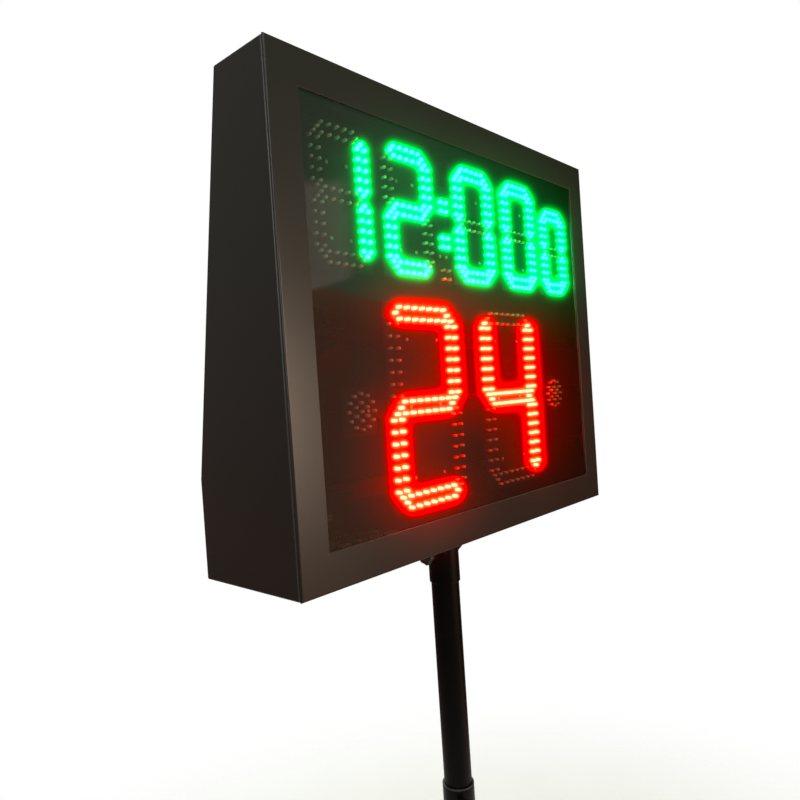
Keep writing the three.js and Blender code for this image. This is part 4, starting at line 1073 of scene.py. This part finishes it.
class SHOTCLOCK_OT_mast(bpy.types.Operator):
    """Make the mast socket, both tubes, their plastic bearings and the end cap"""

    bl_idname = "shotclock.mast"
    bl_label = "Mast"

    def execute(self, context):
        steps, bead = settings().sheet.tube_steps, settings().sheet.weld_bead / MM
        make_socket(steps, bead)
        foot, top = node_heights("upper_tube")
        tube = [(23, foot), (24.6, foot), (25, foot + 0.4), (25, top - 0.4), (24.6, top), (23, top)]
        make_piece("upper_mast_tube", turned_shape(tube, steps), "mast_upper", "mast_paint",
                   "upper_tube", "black_powder_coat")
        make_lower(steps, bead)
        foot, top = node_heights("mast_liner")
        liner = [(25.3, foot), (26.2, foot), (26.2, top - 3), (28.2, top - 3), (28.5, top - 2.6),
                 (28.5, top - 1), (27.6, top), (25.9, top), (25.3, top - 0.6)]
        make_piece("mast_liner_ring", turned_shape(liner, steps), "base", "black_plastic",
                   "mast_liner", "black_abs")
        top = node_heights("mast_end_cap")[1]
        cap = [(0, top), (24, top), (25, top - 0.8), (25, top - 3), (22.7, top - 3),
               (22.5, top - 21), (19.7, top - 21), (19.7, top - 3), (0, top - 3)]
        make_piece("mast_top_cap", turned_shape(cap, steps), "mast_upper", "black_plastic",
                   "mast_end_cap", "black_abs")
        foot, outer = node_heights("guide_bush")[0], node_box("guide_bush")[1].x
        bush = [(0, foot), (outer - 1, foot), (outer, foot + 1), (outer, foot + 29),
                (outer - 1, foot + 30), (22.7, foot + 30), (22.7, foot + 56), (19.7, foot + 56),
                (19.7, foot + 30), (0, foot + 30)]
        make_piece("mast_guide_bush", turned_shape(bush, steps), "mast_upper", "black_plastic",
                   "guide_bush", "grey_nylon")
        return {"FINISHED"}


def knob_shape(radius, steps, lobe=0.09):
    """A five-lobed hand knob and its screw along +Z, from the tip of the screw outwards."""
    hub = KNOB_REACH + 0.3
    top = hub + 16
    grip = bmesh.new()
    for vert in bmesh.ops.create_circle(grip, cap_ends=True, segments=60, radius=1)["verts"]:
        wave = math.cos(5 * math.atan2(vert.co.y, vert.co.x))
        vert.co = vert.co.normalized() * radius / (1 + lobe) * (1 + lobe * wave) * MM
    bmesh.ops.translate(grip, vec=(0, 0, (hub + 5) * MM), verts=grip.verts)
    push_out(grip, grip.faces[:], (0, 0, top - hub - 5))
    round_edges(outward(grip), sharp_edges(grip, 50), 2.2, 4)
    plug = [(0, top - 1), (6.4, top - 1), (6.4, top - 0.1), (5.6, top + 0.3), (0, top + 0.3)]
    stamp(grip, turned_shape(plug, 24))
    collar = [(0, hub), (7.6, hub), (8, hub + 0.4), (8, hub + 6), (0, hub + 6)]
    stamp(grip, turned_shape(collar, steps))
    crest, root, pitch = 3.9, 3.45, 1.25
    height = KNOB_TIP + 0.8
    screw = [(0, KNOB_TIP), (3.2, KNOB_TIP), (crest, height)]
    while height + 1.5 < hub:
        screw += [(root, height + pitch / 2), (crest, height + pitch)]
        height += pitch
    screw += [(crest, hub + 1), (0, hub + 1)]
    stamp(grip, turned_shape(screw, 24), slot=1)
    return grip


class SHOTCLOCK_OT_knobs(bpy.types.Operator):
    """Make the two hand knobs with their threaded stems"""

    bl_idname = "shotclock.knobs"
    bl_label = "Hand knobs"

    def execute(self, context):
        foot, top = node_heights("head_knob")
        for name, way, slot, finish in (
            ("head_knob", facing((-1, 0, 0)), "black_plastic", "black_abs"),
            ("mast_knob", about("Z", MAST_KNOB_WAY) @ facing((1, 0, 0)), "zinc_steel",
             "nickel_plated_brass"),
        ):
            knob = knob_shape((top - foot) / 2, settings().sheet.tube_steps // 2)
            place = at(0, 0, joint_height(f"{name}_turn"), way)
            make_piece(f"{name}_grip", placed(knob, place), name, slot, name,
                       finish, "zinc_plated_steel", smooth=40)
        return {"FINISHED"}


class SHOTCLOCK_OT_base(bpy.types.Operator):
    """Make the weighted floor plate with its welded webs, and its rubber feet"""

    bl_idname = "shotclock.base"
    bl_label = "Floor plate and feet"

    def execute(self, context):
        bead = settings().sheet.weld_bead / MM
        low, high = node_box("floor_plate")
        top = low.z + PLATE_SHEET
        plate = box_shape(low, (high.x, high.y, top), 60, 12, upright_along(2))
        round_edges(plate, sharp_edges(plate, 60), 1.2)
        base = bmesh.new()
        stamp(base, plate)
        ways = [about("Z", turn) for turn in (0, 90, 180, 270)]
        stamp(base, web_shape(75, 90, 6, 0.6), [way @ at(28.8, 0, top - 0.3) for way in ways])
        for side in (-3, 3):
            stamp(base, weld_line_shape((30, side, top), (102, side, top), bead), ways)
        stamp(base, weld_shape(29, bead * 1.3), [at(0, 0, top + 0.4)])
        sides = (-FOOT_CORNER, FOOT_CORNER)
        stamp(base, screw_shape(12, 3.4, 16), [at(x, y, top) for x in sides for y in sides], 1)
        make_piece("welded_floor_plate", base, "base", "mast_paint", "floor_plate",
                   "black_powder_coat", "zinc_plated_steel")
        ribbed = [(0, 12), (0, 4), (4.5, 4), (8.5, 0.4), (9.4, 0), (15.6, 0), (17, 1), (17.6, 3.4),
                  (17.1, 4), (17.8, 4.6), (18.6, 8), (18.1, 8.6), (18.8, 9.2), (20, 11.4),
                  (19.6, 12)]
        for name in ("front_left", "front_right", "back_left", "back_right"):
            middle = node_middle(f"foot_{name}")
            foot = placed(turned_shape(ribbed, 32), at(middle.x, middle.y, 0))
            make_piece(f"rubber_foot_{name}", foot, "base", "seal_rubber", f"foot_{name}",
                       "epdm_rubber")
        return {"FINISHED"}


# Stage. Places are in metres


def soft_light(name, place, target, size, power, colour=(1, 1, 1)):
    """A softbox that looks at a point."""
    data = bpy.data.lights.new(name, "AREA")
    data.shape = "RECTANGLE"
    data.size, data.size_y = size
    data.energy = power
    data.color = colour
    lamp = bpy.data.objects.new(name, data)
    look = (Vector(target) - Vector(place)).to_track_quat("-Z", "Y").to_matrix().to_4x4()
    lamp.matrix_world = Matrix.Translation(place) @ look
    bpy.context.scene.collection.objects.link(lamp)


def make_camera(scene):
    yaw, pitch, roll = (math.radians(angle) for angle in CAMERA_TURN)
    level = math.cos(pitch)
    forward = Vector((math.sin(yaw) * level, math.cos(yaw) * level, math.sin(pitch)))
    right = Vector((math.cos(yaw), -math.sin(yaw), 0))
    down = forward.cross(right)
    across = math.cos(roll) * right + math.sin(roll) * down
    upward = math.sin(roll) * right - math.cos(roll) * down
    data = bpy.data.cameras.new("photo_camera")
    data.lens = CAMERA_LENS
    data.sensor_width = 36
    data.sensor_fit = "HORIZONTAL"
    data.clip_end = 100
    camera = bpy.data.objects.new("photo_camera", data)
    turn = Matrix((across, upward, -forward)).transposed().to_4x4()
    camera.matrix_world = Matrix.Translation(CAMERA_PLACE) @ turn
    scene.collection.objects.link(camera)
    scene.camera = camera


def make_world(scene):
    """White to the camera. To the surfaces it is a dim hall: dark below, with a veil of light
    above it and one lit stretch of wall, which the window mirrors. Azimuths are degrees from
    -Y towards +X, and rises are degrees over the horizon."""
    scene.world = bpy.data.worlds.new("studio")
    node = fresh_nodes(scene.world)
    direction = node("TexCoord").outputs["Generated"]
    x, y, z = node("SeparateXYZ", {"Vector": direction}).outputs
    front = node("Math", {0: y, 1: -1}, operation="MULTIPLY")
    values = {
        "azimuth": node("Math", {0: x, 1: front}, operation="ARCTAN2"),
        "rise": node("Math", {0: z}, operation="ARCSINE"),
    }
    # The rise above a line that slopes up so much a degree, level at the wall's azimuth
    wall_azimuth = math.radians(40.9)
    for name, slope in (("over_veil", -0.3), ("over_wall", 0.25)):
        level = {0: values["rise"], 1: slope * wall_azimuth}
        lifted = node("Math", level, operation="ADD")
        sloping = {0: values["azimuth"], 1: -slope, 2: lifted}
        values[name] = node("Math", sloping, operation="MULTIPLY_ADD")
    # Masks: 0 at the first number of degrees, 1 at the second one
    masks = {}
    for name, value, start, end in (
        ("rightward", "azimuth", 44, 64), ("veil", "over_veil", 9.3, 9.7),
        ("wall_right", "azimuth", 45, 43.6), ("wall_left", "azimuth", 24, 30),
        ("wall_foot", "over_wall", 8.9, 9.1), ("wall_top", "rise", 18.2, 17.2),
        ("sector_left", "azimuth", 10, 35), ("sector_right", "azimuth", 100, 75),
        ("upward", "rise", -25, 25),
    ):
        ends = {"From Min": math.radians(start), "From Max": math.radians(end)}
        masks[name] = node("MapRange", {"Value": values[value], **ends},
                           interpolation_type="SMOOTHSTEP")
    for name in ("wall", "sector"):
        for part in [other for other in masks if other.startswith(f"{name}_")]:
            product = {0: masks.get(name, 1), 1: masks[part]}
            masks[name] = node("Math", product, operation="MULTIPLY")
    colours = {}
    for name, mask, first, second in (
        ("below", "rightward", (0.58, 0.28, 0.18, 1), (0.07, 0.03, 0.015, 1)),
        ("above", "rightward", (0.33, 0.45, 0.3, 1), (0.02, 0.03, 0.0, 1)),
        ("behind_wall", "veil", "below", "above"),
        ("mirrored", "wall", "behind_wall", (0.95, 0.85, 0.7, 1)),
        ("hall", "upward", (0.17, 0.08, 0.07, 1), (0.27, 0.28, 0.25, 1)),
        ("all_round", "sector", "hall", "mirrored"),
    ):
        ends = {"A": colours.get(first, first), "B": colours.get(second, second)}
        colours[name] = node("Mix", {"Factor": masks[mask], **ends}, data_type="RGBA")
    room = node("Background", {"Color": colours["all_round"]})
    white = node("Background", {"Color": (1, 1, 1, 1)})
    seen = node("LightPath").outputs["Is Camera Ray"]
    node("OutputWorld", {"Surface": node("MixShader", {0: seen, 1: room, 2: white})})


def make_bloom(scene):
    """The halo that lit LEDs get in a camera's lens, and the camera's fuller colours."""
    scene.view_settings.view_transform = "Standard"
    node = fresh_nodes(scene)
    image = node("RLayers")
    glare = node("Glare", {"Image": image, "Threshold": 2.0, "Strength": 0.0},
                 glare_type="BLOOM", quality="HIGH")
    for width, strength, contrast in HALOS:
        size = node("RelativeToPixel", {0: (width, width), "Image": image}, data_type="VECTOR")
        bright = {"Image": glare.outputs["Highlights"], "Size": size.outputs[1]}
        halo = node("Blur", bright, filter_type="GAUSS")
        curve = node("Gamma", {"Image": halo, "Gamma": contrast})
        image = node("MixRGB", {0: strength, 1: image, 2: curve}, blend_type="ADD",
                     use_clamp=True)
    fuller = node("HueSat", {"Image": image, "Saturation": CAMERA_SATURATION})
    node("Composite", {"Image": fuller})


class SHOTCLOCK_OT_stage(bpy.types.Operator):
    """Set up the pale floor, the soft studio light and the camera"""

    bl_idname = "shotclock.stage"
    bl_label = "Stage and camera"

    def execute(self, context):
        stage = settings().stage
        make_camera(context.scene)
        radius, fill = stage.floor_radius, stage.fill_power
        shape = bmesh.new()
        bmesh.ops.create_circle(shape, cap_ends=True, segments=96, radius=radius)
        mesh = bpy.data.meshes.new("studio_floor")
        shape.to_mesh(mesh)
        shape.free()
        paint = new_material("painted_floor", pale_floor, stage.floor, radius * 0.5, radius)
        mesh.materials.append(paint)
        floor = bpy.data.objects.new("studio_floor", mesh)
        context.scene.collection.objects.link(floor)
        middle = (0, 0, 1.5)
        for light in (
            ("key_softbox", (-3.5, -1.0, 2.7), middle, (1.8, 1.8), stage.key_power),
            ("top_softbox", (-0.6, -0.6, 4.2), middle, (2.0, 2.0), fill, (0.8, 1, 0.94)),
            ("front_panel", (1.0, -2.8, 1.4), (-0.385, -0.107, 1.5), (0.8, 0.9),
             stage.panel_power, (1, 0.76, 0.58)),
            ("back_softbox", (1.8, 3.4, 2.6), middle, (2.0, 2.0), fill * 3),
        ):
            soft_light(*light)
        make_world(context.scene)
        make_bloom(context.scene)
        return {"FINISHED"}


class SHOTCLOCK_PT_pieces(bpy.types.Panel):
    """Lists the shot clock's pieces and settings"""

    bl_label = "Shot clock"
    bl_idname = "SHOTCLOCK_PT_pieces"
    bl_space_type = "VIEW_3D"
    bl_region_type = "UI"
    bl_category = "Shot clock"

    def draw(self, context):
        whole = context.scene.shot_clock
        for group in (whole.display, whole.sheet, whole.colours, whole.stage):
            box = self.layout.box()
            for name in group.__annotations__:
                box.prop(group, name)
        for operator in OPERATORS:
            self.layout.operator(operator.bl_idname)


OPERATORS = (
    SHOTCLOCK_OT_stage,
    SHOTCLOCK_OT_cabinet,
    SHOTCLOCK_OT_window,
    SHOTCLOCK_OT_clock_boards,
    SHOTCLOCK_OT_shot_boards,
    SHOTCLOCK_OT_back_panel,
    SHOTCLOCK_OT_hatch,
    SHOTCLOCK_OT_power_entry,
    SHOTCLOCK_OT_electronics,
    SHOTCLOCK_OT_mast,
    SHOTCLOCK_OT_knobs,
    SHOTCLOCK_OT_base,
)
GROUPS = (
    ShotClockDisplay, ShotClockSheet, ShotClockColours, ShotClockStage, ShotClockSettings
)
CLASSES = (*GROUPS, *OPERATORS, SHOTCLOCK_PT_pieces)


def register():
    for item in CLASSES:
        bpy.utils.register_class(item)
    bpy.types.Scene.shot_clock = PointerProperty(type=ShotClockSettings)


def unregister():
    del bpy.types.Scene.shot_clock
    for item in reversed(CLASSES):
        bpy.utils.unregister_class(item)


def main():
    register()
    for operator in OPERATORS:
        group, name = operator.bl_idname.split(".")
        getattr(getattr(bpy.ops, group), name)()


if __name__ == "__main__":
    main()
